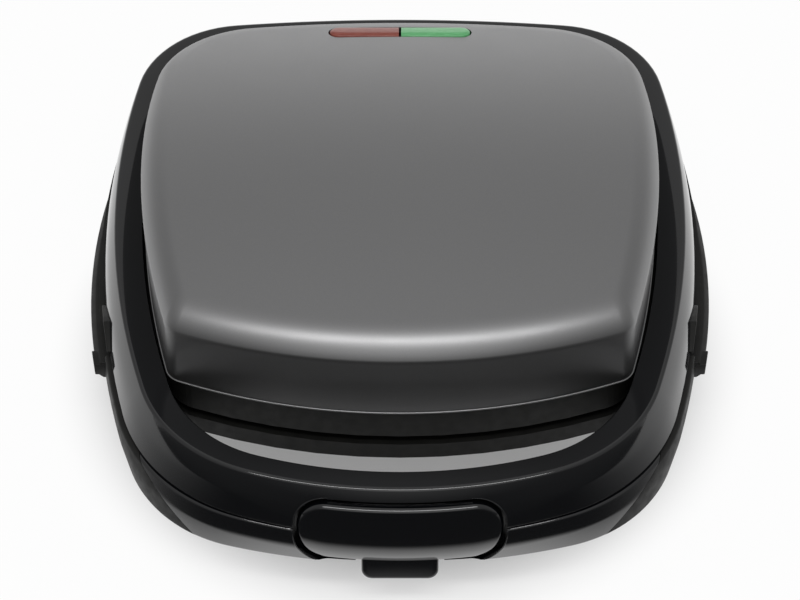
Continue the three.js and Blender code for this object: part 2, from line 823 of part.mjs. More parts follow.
// Handle loop of the base, all the way round
function loopSolid() {
  const level = (inset, z) => atHeight(outlinePoints(loopOutline, inset), z);
  const under = (inset, z) => atHeight(outlinePoints(underOutline, inset), z);
  return toSolid(loft([
    level(loopInnerInset, handleTop),
    level(loopTopInset, handleTop),
    level(loopShoulderInset, loopShoulder),
    level(-loopBellyGrow, loopBelly),
    under(0, loopUnder),
    under(loopBottomInset, loopBottom),
    under(loopInnerLowInset, loopBottom),
    level(loopInnerInset, loopUnder),
  ], true));
}

// The glossy front stretch of the loop lies between two slanted ends
function handleSpan(grow) {
  const points = [
    [-handleHalfLow - grow, loopBottom - cutOver],
    [handleHalfLow + grow, loopBottom - cutOver],
    [handleHalfHigh + grow, handleTop + cutOver],
    [-handleHalfHigh - grow, handleTop + cutOver],
  ];
  const shape = new THREE.Shape(points.map(([x, z]) => new THREE.Vector2(x, z)));
  const geometry = new THREE.ExtrudeGeometry(shape, { depth: handleLong + cutOver, bevelEnabled: false });
  geometry.rotateX(Math.PI / 2);
  geometry.translate(0, handleLong - loopOutline.front, 0);
  return toSolid(geometry);
}

function makeHandle(loop) {
  const notch = boxSolid(-notchWidth / 2, notchWidth / 2, -loopOutline.front - cutOver, notchBack,
    loopBottom - cutOver, latchCentreZ);
  return cut(loop.intersect(handleSpan(0)), latchRecess(), notch);
}

// Matt housing of the base: tub, sides, wings, rear corners, hinge cheeks and screw bosses in one
function makeBaseHousing(loop) {
  const tub = toSolid(loft([
    atHeight(outlinePoints(tubFloorOutline, floorRound), baseFloor),
    atHeight(outlinePoints(tubFloorOutline), baseFloor + floorRound),
    atHeight(outlinePoints(tubOutline), baseRimLow),
    atHeight(outlinePoints(tubOutline, tubWall), baseRimLow),
    atHeight(outlinePoints(tubFloorOutline, tubWall), baseFloor + tubWall),
  ]));
  const rimRoom = joined(
    slab(tubOutline, -seatGap, baseRimLow, handleTop + cutOver),
    slab(tubOutline, tubWall, 0, baseRimLow + seatGap),
  );
  const flank = slab(loopOutline, loopInnerInset / 2, loopUnder, handleTop - seatGap);
  const far = wingOutline.half + cutOver;
  const frontBox = boxSolid(-far, far, -loopOutline.front - cutOver, flankFront, 0, handleTop + cutOver);
  const wingLevel = (inset, z) => atHeight(outlinePoints(wingOutline, inset), z);
  const wings = toSolid(loft([
    wingLevel(wingRound, wingLow),
    wingLevel(0, wingLow + wingRound),
    wingLevel(0, wingTop - wingRound),
    wingLevel(wingRound, wingTop),
  ]));
  const wingCut = joined(
    boxSolid(-far, far, -wingOutline.front - cutOver, wingFront, 0, handleTop + cutOver),
    boxSolid(-far, far, wingBack, wingOutline.back + cutOver, 0, handleTop + cutOver),
    slab(loopOutline, loopInnerInset / 2, 0, handleTop + cutOver),
  );
  const tubSpan = slab(tubOutline, 0, 0, handleTop);
  const cheeks = [];
  const bosses = [];
  const holes = [];
  const slotHalf = knuckleWidth / 2 + runGap;
  const slotReach = knuckleRadius + runGap;
  const boreHalf = pinLength / 2 + seatGap;
  for (const side of [-1, 1]) {
    const middle = side * hingeX;
    const cheek = boxSolid(middle - hingeBlockHalf, middle + hingeBlockHalf,
      hingeY - knuckleRadius - hingeWall, tubOutline.back, hingeZ - hingeDrop, baseRimTop);
    cheeks.push(cheek.intersect(tubSpan));
    holes.push(boxSolid(middle - slotHalf, middle + slotHalf,
      hingeY - slotReach, tubOutline.back + cutOver, hingeZ - slotReach, handleTop + cutOver));
    holes.push(rodAlongX(pinRadius + seatGap, middle - boreHalf, middle + boreHalf, hingeY, hingeZ));
    for (const y of [screwFrontY, screwRearY]) {
      const x = side * screwX;
      bosses.push(rodAlongZ(bossRadius, baseFloor + tubWall / 2, reflectorLow - seatGap, x, y));
      holes.push(rodAlongZ(screwHead + seatGap, 0, baseFloor + screwHeadTall + seatGap, x, y));
      holes.push(rodAlongZ(screwShank + seatGap, 0, baseFloor + screwLong + seatGap, x, y));
    }
    for (const y of [footFrontY, footRearY]) {
      holes.push(rodAlongZ(footTopRadius + seatGap, 0, baseFloor + footSocket, side * footX, y));
    }
  }
  const sideTop = boxSolid(-far, far, flangeFront - runGap, far, baseSideTop, handleTop + cutOver);
  const hingeTop = boxSolid(-far, far, hingeY - hingeTopLong, far, baseRimTop, handleTop + cutOver);
  const inletBoss = rodAlongY(inletFlange + tubWall,
    inletFlangeY - inletLong + tubWall, inletFlangeY, 0, inletZ);
  const inlet = joined(
    rodAlongY(inletRadius + seatGap, inletFlangeY - inletLong, inletFlangeY + cutOver, 0, inletZ),
    rodAlongY(inletFlange + seatGap, inletFlangeY - seatGap, loopOutline.back + cutOver, 0, inletZ),
  );
  return cut(
    joined(
      tub,
      cut(joined(cut(loop, handleSpan(seatGap)), cut(flank, frontBox)), rimRoom),
      cut(wings, wingCut),
      ...cheeks, ...bosses, inletBoss,
    ),
    sideTop, hingeTop, inlet, ...holes, ...bothSides(baseReleaseSolid(runGap)),
  );
}

// Rounded polygon: each corner becomes a short arc-like curve
function roundedLoop(points, radius) {
  const loop = [];
  const count = points.length;
  for (let i = 0; i < count; i += 1) {
    const corner = points[i];
    const from = points[(i + count - 1) % count].clone().sub(corner).setLength(radius).add(corner);
    const to = points[(i + 1) % count].clone().sub(corner).setLength(radius).add(corner);
    const curve = new THREE.QuadraticBezierCurve(from, corner, to);
    loop.push(...curve.getPoints(cornerSteps));
  }
  return loop;
}

// Moves each edge of an anticlockwise polygon inwards
function shrunk(points, inset) {
  const count = points.length;
  return points.map((p, i) => {
    const before = p.clone().sub(points[(i + count - 1) % count]).normalize();
    const after = points[(i + 1) % count].clone().sub(p).normalize();
    const inward = new THREE.Vector2(-before.y, before.x);
    const square = new THREE.Vector2(-after.y, after.x).add(inward).normalize();
    const spread = square.dot(inward);
    return p.clone().addScaledVector(square, inset / spread);
  });
}

// Toast plate facing up: rim, body and four three-cornered pockets, split by a ridge across each slice
function makePlate() {
  const rim = slab(plateOutline, 0, -plateRim, 0);
  const body = slab(plateOutline, plateSeat + runGap, -plateThick, -plateRim / 2);
  const pockets = [];
  for (const side of [-1, 1]) {
    const at = (x, y) => new THREE.Vector2(side * x, y);
    const [x0, x1] = [pocketInnerX, plateOutline.half - pocketSideRim];
    const [y0, y1] = [pocketFrontRim - plateOutline.front, plateOutline.back - pocketBackRim];
    const halves = [
      [at(x0, y0 + pocketSplit), at(x1 - pocketSplit, y1), at(x0, y1)],
      [at(x0 + pocketSplit, y0), at(x1 - pocketFrontIn, y0), at(x1, y1 - pocketSplit)],
    ];
    for (const corners of halves) {
      const turn = THREE.ShapeUtils.isClockWise(corners) ? [...corners].reverse() : corners;
      const level = (inset, z) => atHeight(roundedLoop(shrunk(turn, inset), pocketCorner), z);
      pockets.push(toSolid(loft([
        level(0, cutOver),
        level(0, 0),
        level(pocketDraft, -pocketDepth + pocketRound),
        level(pocketDraft + pocketRound, -pocketDepth),
      ])));
    }
  }
  return cut(joined(rim, body), ...pockets);
}

// Heating element: one bent tube under the whole plate, with both tails towards the back
function makeElement() {
  const corners = [
    [elementTailX, elementTailY],
    [elementTailX, elementBackY],
    [elementX, elementBackY],
    [elementX, elementFrontY],
    [-elementX, elementFrontY],
    [-elementX, elementBackY],
    [-elementTailX, elementBackY],
    [-elementTailX, elementTailY],
  ].map(([x, y]) => new THREE.Vector3(x, y, 0));
  const path = new THREE.CurvePath();
  let last = corners[0];
  for (let i = 1; i < corners.length - 1; i += 1) {
    const corner = corners[i];
    const bend = i === 1 || i === corners.length - 2 ? elementTailBend : elementBend;
    const from = corners[i - 1].clone().sub(corner).setLength(bend).add(corner);
    const to = corners[i + 1].clone().sub(corner).setLength(bend).add(corner);
    path.add(new THREE.LineCurve3(last, from));
    path.add(new THREE.QuadraticBezierCurve3(from, corner, to));
    last = to;
  }
  path.add(new THREE.LineCurve3(last, corners.at(-1)));
  const smooth = new THREE.CatmullRomCurve3(path.getSpacedPoints(elementSteps));
  const circle = new THREE.Shape();
  circle.absarc(0, 0, elementRadius, 0, 2 * Math.PI);
  const section = new THREE.Shape(circle.getSpacedPoints(elementSides).slice(0, elementSides));
  return new THREE.ExtrudeGeometry(section, {
    steps: elementSteps, extrudePath: smooth, bevelEnabled: false,
  });
}

// Sheet tray under the lower element, with an upturned lip. Its own floor is at zero.
function makeBaseReflector() {
  const level = (inset, z) => atHeight(outlinePoints(plateOutline, inset), z);
  return loft([
    level(reflectorInset + reflectorDraft, 0),
    level(reflectorInset, reflectorLip),
    level(reflectorInset + sheet, reflectorLip),
    level(reflectorInset + reflectorDraft + sheet, sheet),
  ]);
}

// Pressed sheet over the upper element, lying on the lid's inner frame. Its flange is at zero.
function makeLidReflector() {
  const flange = outlinePoints(coverOutline, coverWall + skirtInset);
  const level = (inset, z) => atHeight(outlinePoints(plateOutline, inset), z);
  return loft([
    level(reflectorInset + reflectorDraft + sheet, lidReflectorRise - sheet),
    level(reflectorInset + sheet, 0),
    atHeight(flange, 0),
    atHeight(flange, sheet),
    level(reflectorInset, sheet),
    level(reflectorInset + reflectorDraft, lidReflectorRise),
  ]);
}

const group = new THREE.Group();

function place(name, shape, material, x = 0, y = 0, z = 0) {
  const mesh = new THREE.Mesh(shape.isBufferGeometry ? shape : toGeometry(shape), material);
  mesh.name = name;
  mesh.position.set(x, y, z);
  group.add(mesh);
  return mesh;
}

const sides = { left: -1, right: 1 };

function buildLid() {
  place("lid_cover", makeCover(), greyPaint);
  place("lid_ring", makeRing(), glossBlack);
  place("lid_carrier", makeLidCarrier(), mattBlack);
  const plate = place("upper_plate", makePlate(), castPlate, 0, 0, platePartition + plateGap);
  plate.rotation.y = Math.PI;
  const elementZ = platePartition + plateGap + plateThick + seatGap + elementRadius;
  place("upper_element", makeElement(), steel, 0, 0, elementZ);
  place("upper_reflector", makeLidReflector(), aluminium, 0, 0, lidLip);
  place("red_lens", makeLens(-1), redLens);
  place("green_lens", makeLens(1), greenLens);
  const holderTop = lampZ - lampHolderDrop;
  place("lamp_holder", boxSolid(-lampHolderHalf, lampHolderHalf, lampY - lampDeep / 2, lampY + lampDeep / 2,
    lidLip + sheet + seatGap, holderTop), ceramic);
  for (const [name, side] of [["red_neon", -1], ["green_neon", 1]]) {
    const x = (side * lampWide) / 4;
    place(name, rodAlongX(neonRadius, x - neonLong / 2, x + neonLong / 2, lampY,
      holderTop + seatGap + neonRadius, smallSteps), glass);
  }
  place("thermal_fuse", rodAlongX(fuseRadius, -fuseLong / 2, fuseLong / 2, fuseY,
    lidLip + lidReflectorRise + seatGap + fuseRadius, smallSteps), steel);
  const pin = latchPinLong / 2;
  place("latch_pin", rodAlongX(latchPinRadius, -pin, pin, latchPivotY, latchPivotZ, smallSteps), steel);
  for (const [name, side] of Object.entries(sides)) {
    const button = lidReleaseSolid();
    place(`lid_release_${name}`, side > 0 ? button : mirrored(button), mattBlack);
  }
}

function buildBase() {
  const loop = loopSolid();
  place("base_housing", makeBaseHousing(loop), mattBlack);
  place("base_handle", makeHandle(loop), glossBlack);
  place("base_carrier", makeBaseCarrier(), mattBlack);
  place("lower_plate", makePlate(), castPlate, 0, 0, platePartition - plateGap);
  const elementZ = platePartition - plateGap - plateThick - seatGap - elementRadius;
  place("lower_element", makeElement(), steel, 0, 0, elementZ);
  place("lower_reflector", makeBaseReflector(), aluminium, 0, 0, reflectorLow);
  place("thermostat", rodAlongZ(thermostatRadius, reflectorLow - seatGap - thermostatTall,
    reflectorLow - seatGap, 0, thermostatY), ceramic);
  const tubFloor = baseFloor + tubWall;
  place("terminal_block", boxSolid(-terminalWide / 2, terminalWide / 2,
    terminalY - terminalDeep / 2, terminalY + terminalDeep / 2,
    tubFloor + seatGap, tubFloor + terminalTall), ceramic);
  const bush = turned([
    [inletBore, 0], [inletRadius, 0], [inletRadius, inletLong], [inletFlange, inletLong],
    [inletFlange - inletChamfer, inletLong + inletFlangeThick], [inletBore, inletLong + inletFlangeThick],
    [inletBore, 0],
  ], footSteps);
  bush.rotateX(-Math.PI / 2);
  place("cord_inlet", bush, rubber, 0, inletFlangeY - inletLong, inletZ);
  for (const [name, side] of Object.entries(sides)) {
    const middle = side * hingeX;
    place(`hinge_pin_${name}`, rodAlongX(pinRadius, middle - pinLength / 2, middle + pinLength / 2,
      hingeY, hingeZ, smallSteps), steel);
    const button = baseReleaseSolid();
    place(`base_release_${name}`, side > 0 ? button : mirrored(button), mattBlack);
    for (const [end, y] of [["front", footFrontY], ["rear", footRearY]]) {
      const foot = turned([
        [0, 0], [footRadius - footChamfer, 0], [footRadius, footChamfer], [footRadius, baseFloor - seatGap],
        [footTopRadius, baseFloor - seatGap], [footTopRadius, baseFloor + footSocket - seatGap],
        [0, baseFloor + footSocket - seatGap],
      ], footSteps);
      place(`foot_${end}_${name}`, foot, rubber, side * footX, y, 0);
    }
    for (const [end, y] of [["front", screwFrontY], ["rear", screwRearY]]) {
      const screw = turned([
        [0, 0], [screwHead, 0], [screwHead, screwHeadTall], [screwShank, screwHeadTall],
        [screwShank, screwLong], [0, screwLong],
      ], smallSteps);
      place(`base_screw_${end}_${name}`, screw, steel, side * screwX, y, baseFloor);
    }
  }
}

buildLid();
place("latch", makeLatch(), glossBlack);
buildBase();

export default group;
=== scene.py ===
"""Looks of the sandwich maker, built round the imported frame. Named sizes are in millimetres."""

import json
import math

import bmesh
import bpy
import numpy as np
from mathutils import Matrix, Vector
from mathutils.bvhtree import BVHTree


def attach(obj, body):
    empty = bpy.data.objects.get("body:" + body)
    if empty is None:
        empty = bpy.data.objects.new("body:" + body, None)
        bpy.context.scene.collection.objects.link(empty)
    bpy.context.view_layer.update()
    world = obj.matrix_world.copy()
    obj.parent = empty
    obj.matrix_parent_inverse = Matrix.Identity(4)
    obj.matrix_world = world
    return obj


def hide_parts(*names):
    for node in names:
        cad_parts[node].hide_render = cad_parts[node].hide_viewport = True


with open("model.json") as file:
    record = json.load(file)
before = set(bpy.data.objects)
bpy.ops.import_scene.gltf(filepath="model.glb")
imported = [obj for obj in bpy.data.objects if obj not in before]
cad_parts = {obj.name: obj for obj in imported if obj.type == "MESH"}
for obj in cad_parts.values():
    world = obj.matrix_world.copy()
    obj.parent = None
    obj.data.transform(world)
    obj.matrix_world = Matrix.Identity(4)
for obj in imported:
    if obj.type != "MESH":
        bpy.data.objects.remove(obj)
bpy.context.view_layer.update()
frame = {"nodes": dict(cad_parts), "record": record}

MM = 0.001

# Levels of the main forms
LIP, TOP = 60.0, 97.0
RING_LOW, RING_INNER_TOP, RING_CREASE = 47.0, 60.5, 63.6
HANDLE_TOP = 46.6
TUB_LOW, TUB_TOP = 4.6, 33.2

# Plan outlines, each of five tangent arcs on a side: half the width and the place along Y where it is
# reached, how far front and back reach, and the radii of side, front, back and the front and back corners
RING = dict(half=113, side_at=36, front=123, back=133.6,
            side_r=360, front_r=187, back_r=661, front_c=62, back_c=44)
FLARE = dict(half=118, side_at=26, front=132.3, back=134,
             side_r=362, front_r=178, back_r=661, front_c=70, back_c=46)
LOOP = dict(half=120, side_at=25, front=132.6, back=114.8,
            side_r=362, front_r=190, back_r=900, front_c=70, back_c=40)
UNDER = dict(half=118.6, side_at=25, front=129.4, back=110,
             side_r=362, front_r=250, back_r=900, front_c=55, back_c=36)
WING = dict(half=122.6, side_at=10, front=128, back=113,
            side_r=260, front_r=190, back_r=900, front_c=70, back_c=40)
COVER = dict(half=101.5, side_at=43, front=85.1, back=122.2,
             side_r=400, front_r=225, back_r=700, front_c=8, back_c=42)
CROWN = dict(half=90.5, side_at=43, front=70.2, back=111,
             side_r=389, front_r=210, back_r=688, front_c=5, back_c=30)
TUB = dict(half=100.6, side_at=43, front=84.2, back=115.2,
           side_r=400, front_r=225, back_r=900, front_c=16, back_c=36)
TUB_FLOOR = dict(half=92, side_at=43, front=54, back=109,
                 side_r=400, front_r=225, back_r=900, front_c=30, back_c=30)

# Points along the arcs, from the middle of the back to the middle of the front
ARC_STEPS = dict(back=10, back_corner=14, side=22, front_corner=22, front=18)

# Points this close are one point (mm), and a mesh joins corners this close (m)
SAME_POINT, SAME_CORNER = 1e-4, 1e-7
# Edges sharper than this stay sharp (degrees): on bevelled pieces, shells, rolled forms and round pieces
SHARP, SHARP_SHELL, SHARP_LOFT, SHARP_ROUND = 35, 40, 50, 60
BEVEL_FROM = 30


# Plan outlines as points

def corner_centre(c1, r1, c2, r2, r):
    """Centre of the circle of radius r that touches two circles from the inside, on the +X side."""
    d1, d2 = r1 - r, r2 - r
    across = c2 - c1
    span = np.linalg.norm(across)
    along = (d1 * d1 - d2 * d2 + span * span) / (2 * span)
    high = math.sqrt(max(d1 * d1 - along * along, 0.0))
    foot = c1 + across * along / span
    square = np.array([-across[1], across[0]]) / span
    a, b = foot + square * high, foot - square * high
    return a if a[0] > b[0] else b


def right_half(o, inset=0.0):
    """Points of the +X half of an outline, from the middle of the back to the middle of the front."""
    back = np.array([0.0, o["back"] - o["back_r"]])
    side = np.array([o["half"] - o["side_r"], o["side_at"]], float)
    front = np.array([0.0, o["front_r"] - o["front"]])
    back_corner = corner_centre(back, o["back_r"], side, o["side_r"], o["back_c"])
    front_corner = corner_centre(front, o["front_r"], side, o["side_r"], o["front_c"])
    heading = lambda a, b: math.atan2(b[1] - a[1], b[0] - a[0])
    turns = [math.pi / 2, heading(back, back_corner), heading(side, back_corner),
             heading(side, front_corner), heading(front, front_corner), -math.pi / 2]
    centres = [back, back_corner, side, front_corner, front]
    radii = [o["back_r"], o["back_c"], o["side_r"], o["front_c"], o["front_r"]]
    points = []
    for k, steps in enumerate(ARC_STEPS.values()):
        for i in range(steps):
            angle = turns[k] + (turns[k + 1] - turns[k]) * i / steps
            reach = radii[k] - inset
            points.append(centres[k] + reach * np.array([math.cos(angle), math.sin(angle)]))
    points.append(np.array([0.0, inset - o["front"]]))
    return np.array(points)


def outline(o, inset=0.0):
    """The whole outline, anticlockwise from the middle of the back."""
    right = right_half(o, inset)
    left = right[1:-1] * [-1, 1]
    return np.vstack([right[:1], left, right[-1:], right[1:-1][::-1]])


def reach_at(y, o, inset):
    """How far an outline reaches on the +X side at a place along Y."""
    half = right_half(o, inset)
    order = np.argsort(half[:, 1])
    return np.interp(y, half[order, 1], half[order, 0])


def at_height(points, z):
    return np.column_stack([points, np.full(len(points), float(z))])


def rows(*levels):
    """Section loops of (outline, inset, height)."""
    return np.array([at_height(outline(o, inset), z) for o, inset, z in levels])


# Meshes

def unit(v):
    return v / np.linalg.norm(v, axis=-1, keepdims=True)


def filleted(loops, radii, steps=5):
    """Rounds the corners between the loops of a ring: each radius belongs to one loop."""
    made = []
    count = len(loops)
    for k in range(count):
        radius = radii[k]
        if radius <= 0:
            made.append(loops[k])
            continue
        corner = loops[k]
        a = unit(loops[(k - 1) % count] - corner)
        b = unit(loops[(k + 1) % count] - corner)
        angle = np.arccos(np.clip((a * b).sum(-1, keepdims=True), -0.9999, 0.9999))
        reach = radius / np.tan(angle / 2)
        p, q = corner + a * reach, corner + b * reach
        centre = corner + unit(a + b) * radius / np.sin(angle / 2)
        sweep = math.pi - angle
        for i in range(steps + 1):
            s = i / steps
            from_p = np.sin((1 - s) * sweep) * (p - centre)
            from_q = np.sin(s * sweep) * (q - centre)
            made.append(centre + (from_p + from_q) / np.sin(sweep))
    return np.array(made)


def new_object(name, verts, faces):
    mesh = bpy.data.meshes.new(name)
    mesh.from_pydata((np.asarray(verts, float) * MM).tolist(), [], faces)
    bm = bmesh.new()
    bm.from_mesh(mesh)
    bmesh.ops.remove_doubles(bm, verts=bm.verts, dist=SAME_CORNER)
    bmesh.ops.recalc_face_normals(bm, faces=bm.faces)
    bm.to_mesh(mesh)
    bm.free()
    obj = bpy.data.objects.new(name, mesh)
    bpy.context.scene.collection.objects.link(obj)
    return obj


def loft(name, loops, ring=False, open_path=False, caps=True):
    """Surface through loops of equally many points. A ring joins the last loop to the first.
    On an open path the points of each loop are not joined last to first, and its ends are capped."""
    loops = np.asarray(loops, float)
    k, n = loops.shape[:2]
    faces = []
    for a in range(k if ring else k - 1):
        b = (a + 1) % k
        for i in range(n - 1 if open_path else n):
            j = (i + 1) % n
            faces.append((a * n + i, a * n + j, b * n + j, b * n + i))
    if open_path:
        faces.append([a * n for a in range(k)])
        faces.append([a * n + n - 1 for a in reversed(range(k))])
    if not ring and caps:
        faces.append(list(range(n)))
        faces.append([(k - 1) * n + i for i in reversed(range(n))])
    return new_object(name, loops.reshape(-1, 3), faces)


def smooth(obj, angle=SHARP):
    mesh = obj.data
    mesh.shade_smooth()
    mesh.set_sharp_from_angle(angle=math.radians(angle))
    return obj


def apply_modifiers(obj):
    graph = bpy.context.evaluated_depsgraph_get()
    mesh = bpy.data.meshes.new_from_object(obj.evaluated_get(graph))
    obj.modifiers.clear()
    obj.data = mesh
    return obj


def bevel(obj, width, segments=3):
    """Rounds the edges that are sharper than BEVEL_FROM, by a width in millimetres."""
    m = obj.modifiers.new("bevel", "BEVEL")
    m.width, m.segments = width * MM, segments
    m.limit_method, m.angle_limit = "ANGLE", math.radians(BEVEL_FROM)
    return smooth(apply_modifiers(obj))


def cut(obj, operation, cutter):
    """Cuts obj by a closed mesh, which goes."""
    m = obj.modifiers.new("cut", "BOOLEAN")
    m.operation, m.solver, m.object = operation, "EXACT", cutter
    apply_modifiers(obj)
    bpy.data.objects.remove(cutter)


def carve(obj, cutters):
    """Cuts closed meshes out of obj. The surface that is left keeps the shading it had before."""
    source = obj.data.copy()
    for cutter in cutters:
        cut(obj, "DIFFERENCE", cutter)
    shade_like(obj, source)


# A corner is looked for a little way in from it, as a share of the way to the face's middle. It lies on a
# surface that is this near (m), and faces its way by this much. NO_ZERO keeps weights finite (m2).
WAY_IN, ON_SURFACE, SAME_WAY, NO_ZERO = 0.02, 2e-5, 0.8, 1e-12


def shade_like(obj, source):
    """Gives every corner that lies on the source surface the source's smooth normal."""
    bm = bmesh.new()
    bm.from_mesh(source)
    bm.normal_update()
    tree = BVHTree.FromBMesh(bm)
    bm.faces.ensure_lookup_table()
    corners = source.corner_normals
    mesh = obj.data
    normals = []
    for poly in mesh.polygons:
        for index in poly.loop_indices:
            point = mesh.vertices[mesh.loops[index].vertex_index].co
            inner = point.lerp(poly.center, WAY_IN)
            place, normal, face, distance = tree.find_nearest(inner)
            if face is None or distance > ON_SURFACE or normal.dot(poly.normal) < SAME_WAY:
                normals.append(poly.normal.copy())
                continue
            near = source.polygons[face]
            weights, total = Vector(), 0.0
            for loop in near.loop_indices:
                reach = (source.vertices[source.loops[loop].vertex_index].co - place).length
                weight = 1.0 / (reach * reach + NO_ZERO)
                weights += corners[loop].vector * weight
                total += weight
            normals.append((weights / total).normalized())
    bm.free()
    mesh.shade_smooth()
    mesh.normals_split_custom_set(normals)


def box(name, x, y, z):
    """A cutter between two places along each axis."""
    verts = [(a, b, c) for c in z for b in y for a in x]
    faces = [(0, 2, 3, 1), (4, 5, 7, 6), (0, 1, 5, 4), (2, 6, 7, 3), (0, 4, 6, 2), (1, 3, 7, 5)]
    return new_object(name, verts, faces)


def slab(name, near, far):
    """A closed body between two polygons of equally many corners."""
    n = len(near)
    faces = [list(range(n)), [n + i for i in reversed(range(n))]]
    faces += [(i, (i + 1) % n, n + (i + 1) % n, n + i) for i in range(n)]
    return new_object(name, near + far, faces)


# A direction that no bead starts in
SKEW = (0.3, 0.5, 0.8)


def tube(name, path, radius, closed=False, sides=10):
    """A round bead along a path, of one radius or of one for each point."""
    path = np.asarray(path, float)
    n = len(path)
    radii = np.broadcast_to(radius, n)
    if closed:
        tangent = unit(np.roll(path, -1, 0) - np.roll(path, 1, 0))
    else:
        tangent = unit(np.gradient(path, axis=0))
    normal = unit(np.cross(tangent[0], SKEW))
    angles = np.arange(sides) * 2 * math.pi / sides
    loops = []
    for i in range(n):
        normal = unit(normal - tangent[i] * normal.dot(tangent[i]))
        other = np.cross(tangent[i], normal)
        circle = np.outer(np.cos(angles), normal) + np.outer(np.sin(angles), other)
        loops.append(path[i] + radii[i] * circle)
    return smooth(loft(name, loops, ring=closed), SHARP_ROUND)


# Materials

# The part of a noise's range that is used
NOISE_RANGE = (0.3, 0.7)


def material(name, color, rough, metal=0.0, **sockets):
    m = bpy.data.materials.new(name)
    m.use_nodes = True
    shader = m.node_tree.nodes["Principled BSDF"]
    shader.inputs["Base Color"].default_value = (*color, 1)
    shader.inputs["Roughness"].default_value = rough
    shader.inputs["Metallic"].default_value = metal
    for socket, value in sockets.items():
        shader.inputs[socket.replace("_", " ")].default_value = value
    return m


def node(m, kind, **values):
    made = m.node_tree.nodes.new(kind)
    for key, value in values.items():
        if key in made.inputs:
            made.inputs[key].default_value = value
        else:
            setattr(made, key, value)
    return made


def noise(m, scale, detail, stretch=(1, 1, 1)):
    """A noise over the object's own coordinates, with the given features per metre."""
    links = m.node_tree.links
    where = node(m, "ShaderNodeTexCoord")
    mapping = node(m, "ShaderNodeMapping")
    mapping.inputs["Scale"].default_value = stretch
    texture = node(m, "ShaderNodeTexNoise", Scale=scale, Detail=detail)
    links.new(where.outputs["Object"], mapping.inputs["Vector"])
    links.new(mapping.outputs["Vector"], texture.inputs["Vector"])
    return texture.outputs["Fac"]


def ranged(tree, value, source, target, kind="SMOOTHSTEP"):
    """Carries a number from one range over to another."""
    made = tree.nodes.new("ShaderNodeMapRange")
    made.interpolation_type = kind
    made.inputs["From Min"].default_value, made.inputs["From Max"].default_value = source
    made.inputs["To Min"].default_value, made.inputs["To Max"].default_value = target
    tree.links.new(value, made.inputs["Value"])
    return made.outputs["Result"]


def colour_mix(tree, share):
    """A mix of two colours: its two inputs and its output."""
    mix = tree.nodes.new("ShaderNodeMix")
    mix.data_type = "RGBA"
    tree.links.new(share, mix.inputs["Factor"])
    first, second = (s for s in mix.inputs if s.type == "RGBA")
    return first, second, next(s for s in mix.outputs if s.type == "RGBA")


def vary(m, source, socket, low, high):
    """Drives a number of the shader between two values by a texture."""
    level = ranged(m.node_tree, source, NOISE_RANGE, (low, high), "LINEAR")
    m.node_tree.links.new(level, m.node_tree.nodes["Principled BSDF"].inputs[socket])


def tint(m, source, low, high):
    """Mixes the base colour between two colours by a texture."""
    share = ranged(m.node_tree, source, NOISE_RANGE, (0.0, 1.0), "LINEAR")
    first, second, mixed = colour_mix(m.node_tree, share)
    first.default_value, second.default_value = (*low, 1), (*high, 1)
    m.node_tree.links.new(mixed, m.node_tree.nodes["Principled BSDF"].inputs["Base Color"])


def bump(m, source, height, strength):
    """Raises the surface by a texture, its full height in millimetres."""
    made = node(m, "ShaderNodeBump", Strength=strength, Distance=height * MM)
    m.node_tree.links.new(source, made.inputs["Height"])
    m.node_tree.links.new(made.outputs["Normal"], m.node_tree.nodes["Principled BSDF"].inputs["Normal"])


def gloss_black():
    m = material("gloss_black", (0.0024, 0.0027, 0.0035), 0.08,
                 Specular_IOR_Level=0.4, Coat_Weight=0.6, Coat_Roughness=0.04)
    vary(m, noise(m, 55, 3), "Roughness", 0.06, 0.11)
    bump(m, noise(m, 90, 1), 0.01, 0.25)
    return m


def matt_black():
    m = material("matt_black", (0.007, 0.007, 0.0065), 0.5, Specular_IOR_Level=0.24)
    tint(m, noise(m, 140, 3), (0.006, 0.006, 0.0055), (0.0085, 0.0085, 0.0075))
    vary(m, noise(m, 260, 2), "Roughness", 0.44, 0.56)
    bump(m, noise(m, 2400, 2), 0.03, 0.5)
    return m


def grey_paint():
    m = material("grey_paint", (0.24, 0.24, 0.242), 0.38, 1.0)
    tint(m, noise(m, 5200, 1), (0.225, 0.225, 0.227), (0.255, 0.255, 0.257))
    vary(m, noise(m, 60, 3), "Roughness", 0.37, 0.39)
    bump(m, noise(m, 1500, 2), 0.002, 0.3)
    return m


def nonstick():
    m = material("nonstick", (0.03, 0.03, 0.032), 0.42, 0.2)
    tint(m, noise(m, 900, 3), (0.024, 0.024, 0.026), (0.04, 0.04, 0.042))
    bump(m, noise(m, 1600, 3), 0.03, 0.5)
    return m


def metal(name, color, rough, stretch=(1, 1, 1)):
    m = material(name, color, rough, 1.0)
    vary(m, noise(m, 900, 3, stretch), "Roughness", rough * 0.8, rough * 1.25)
    bump(m, noise(m, 1300, 2, stretch), 0.01, 0.4)
    return m


def dull(name, low, high, rough, grain=1200, height=0.03):
    m = material(name, low, rough)
    tint(m, noise(m, 180, 3), low, high)
    bump(m, noise(m, grain, 2), height, 0.5)
    return m


def window(name, low, high):
    m = material(name, low, 0.3, Specular_IOR_Level=0.3, Transmission_Weight=0.1,
                 Coat_Weight=0.15, Coat_Roughness=0.1)
    tint(m, noise(m, 300, 2, (1, 6, 1)), low, high)
    bump(m, noise(m, 700, 1, (3, 0.5, 1)), 0.03, 0.3)
    return m


def lamp_glass():
    m = material("lamp_glass", (0.9, 0.72, 0.55), 0.08, Transmission_Weight=0.85, IOR=1.45)
    vary(m, noise(m, 400, 2), "Roughness", 0.05, 0.12)
    return m


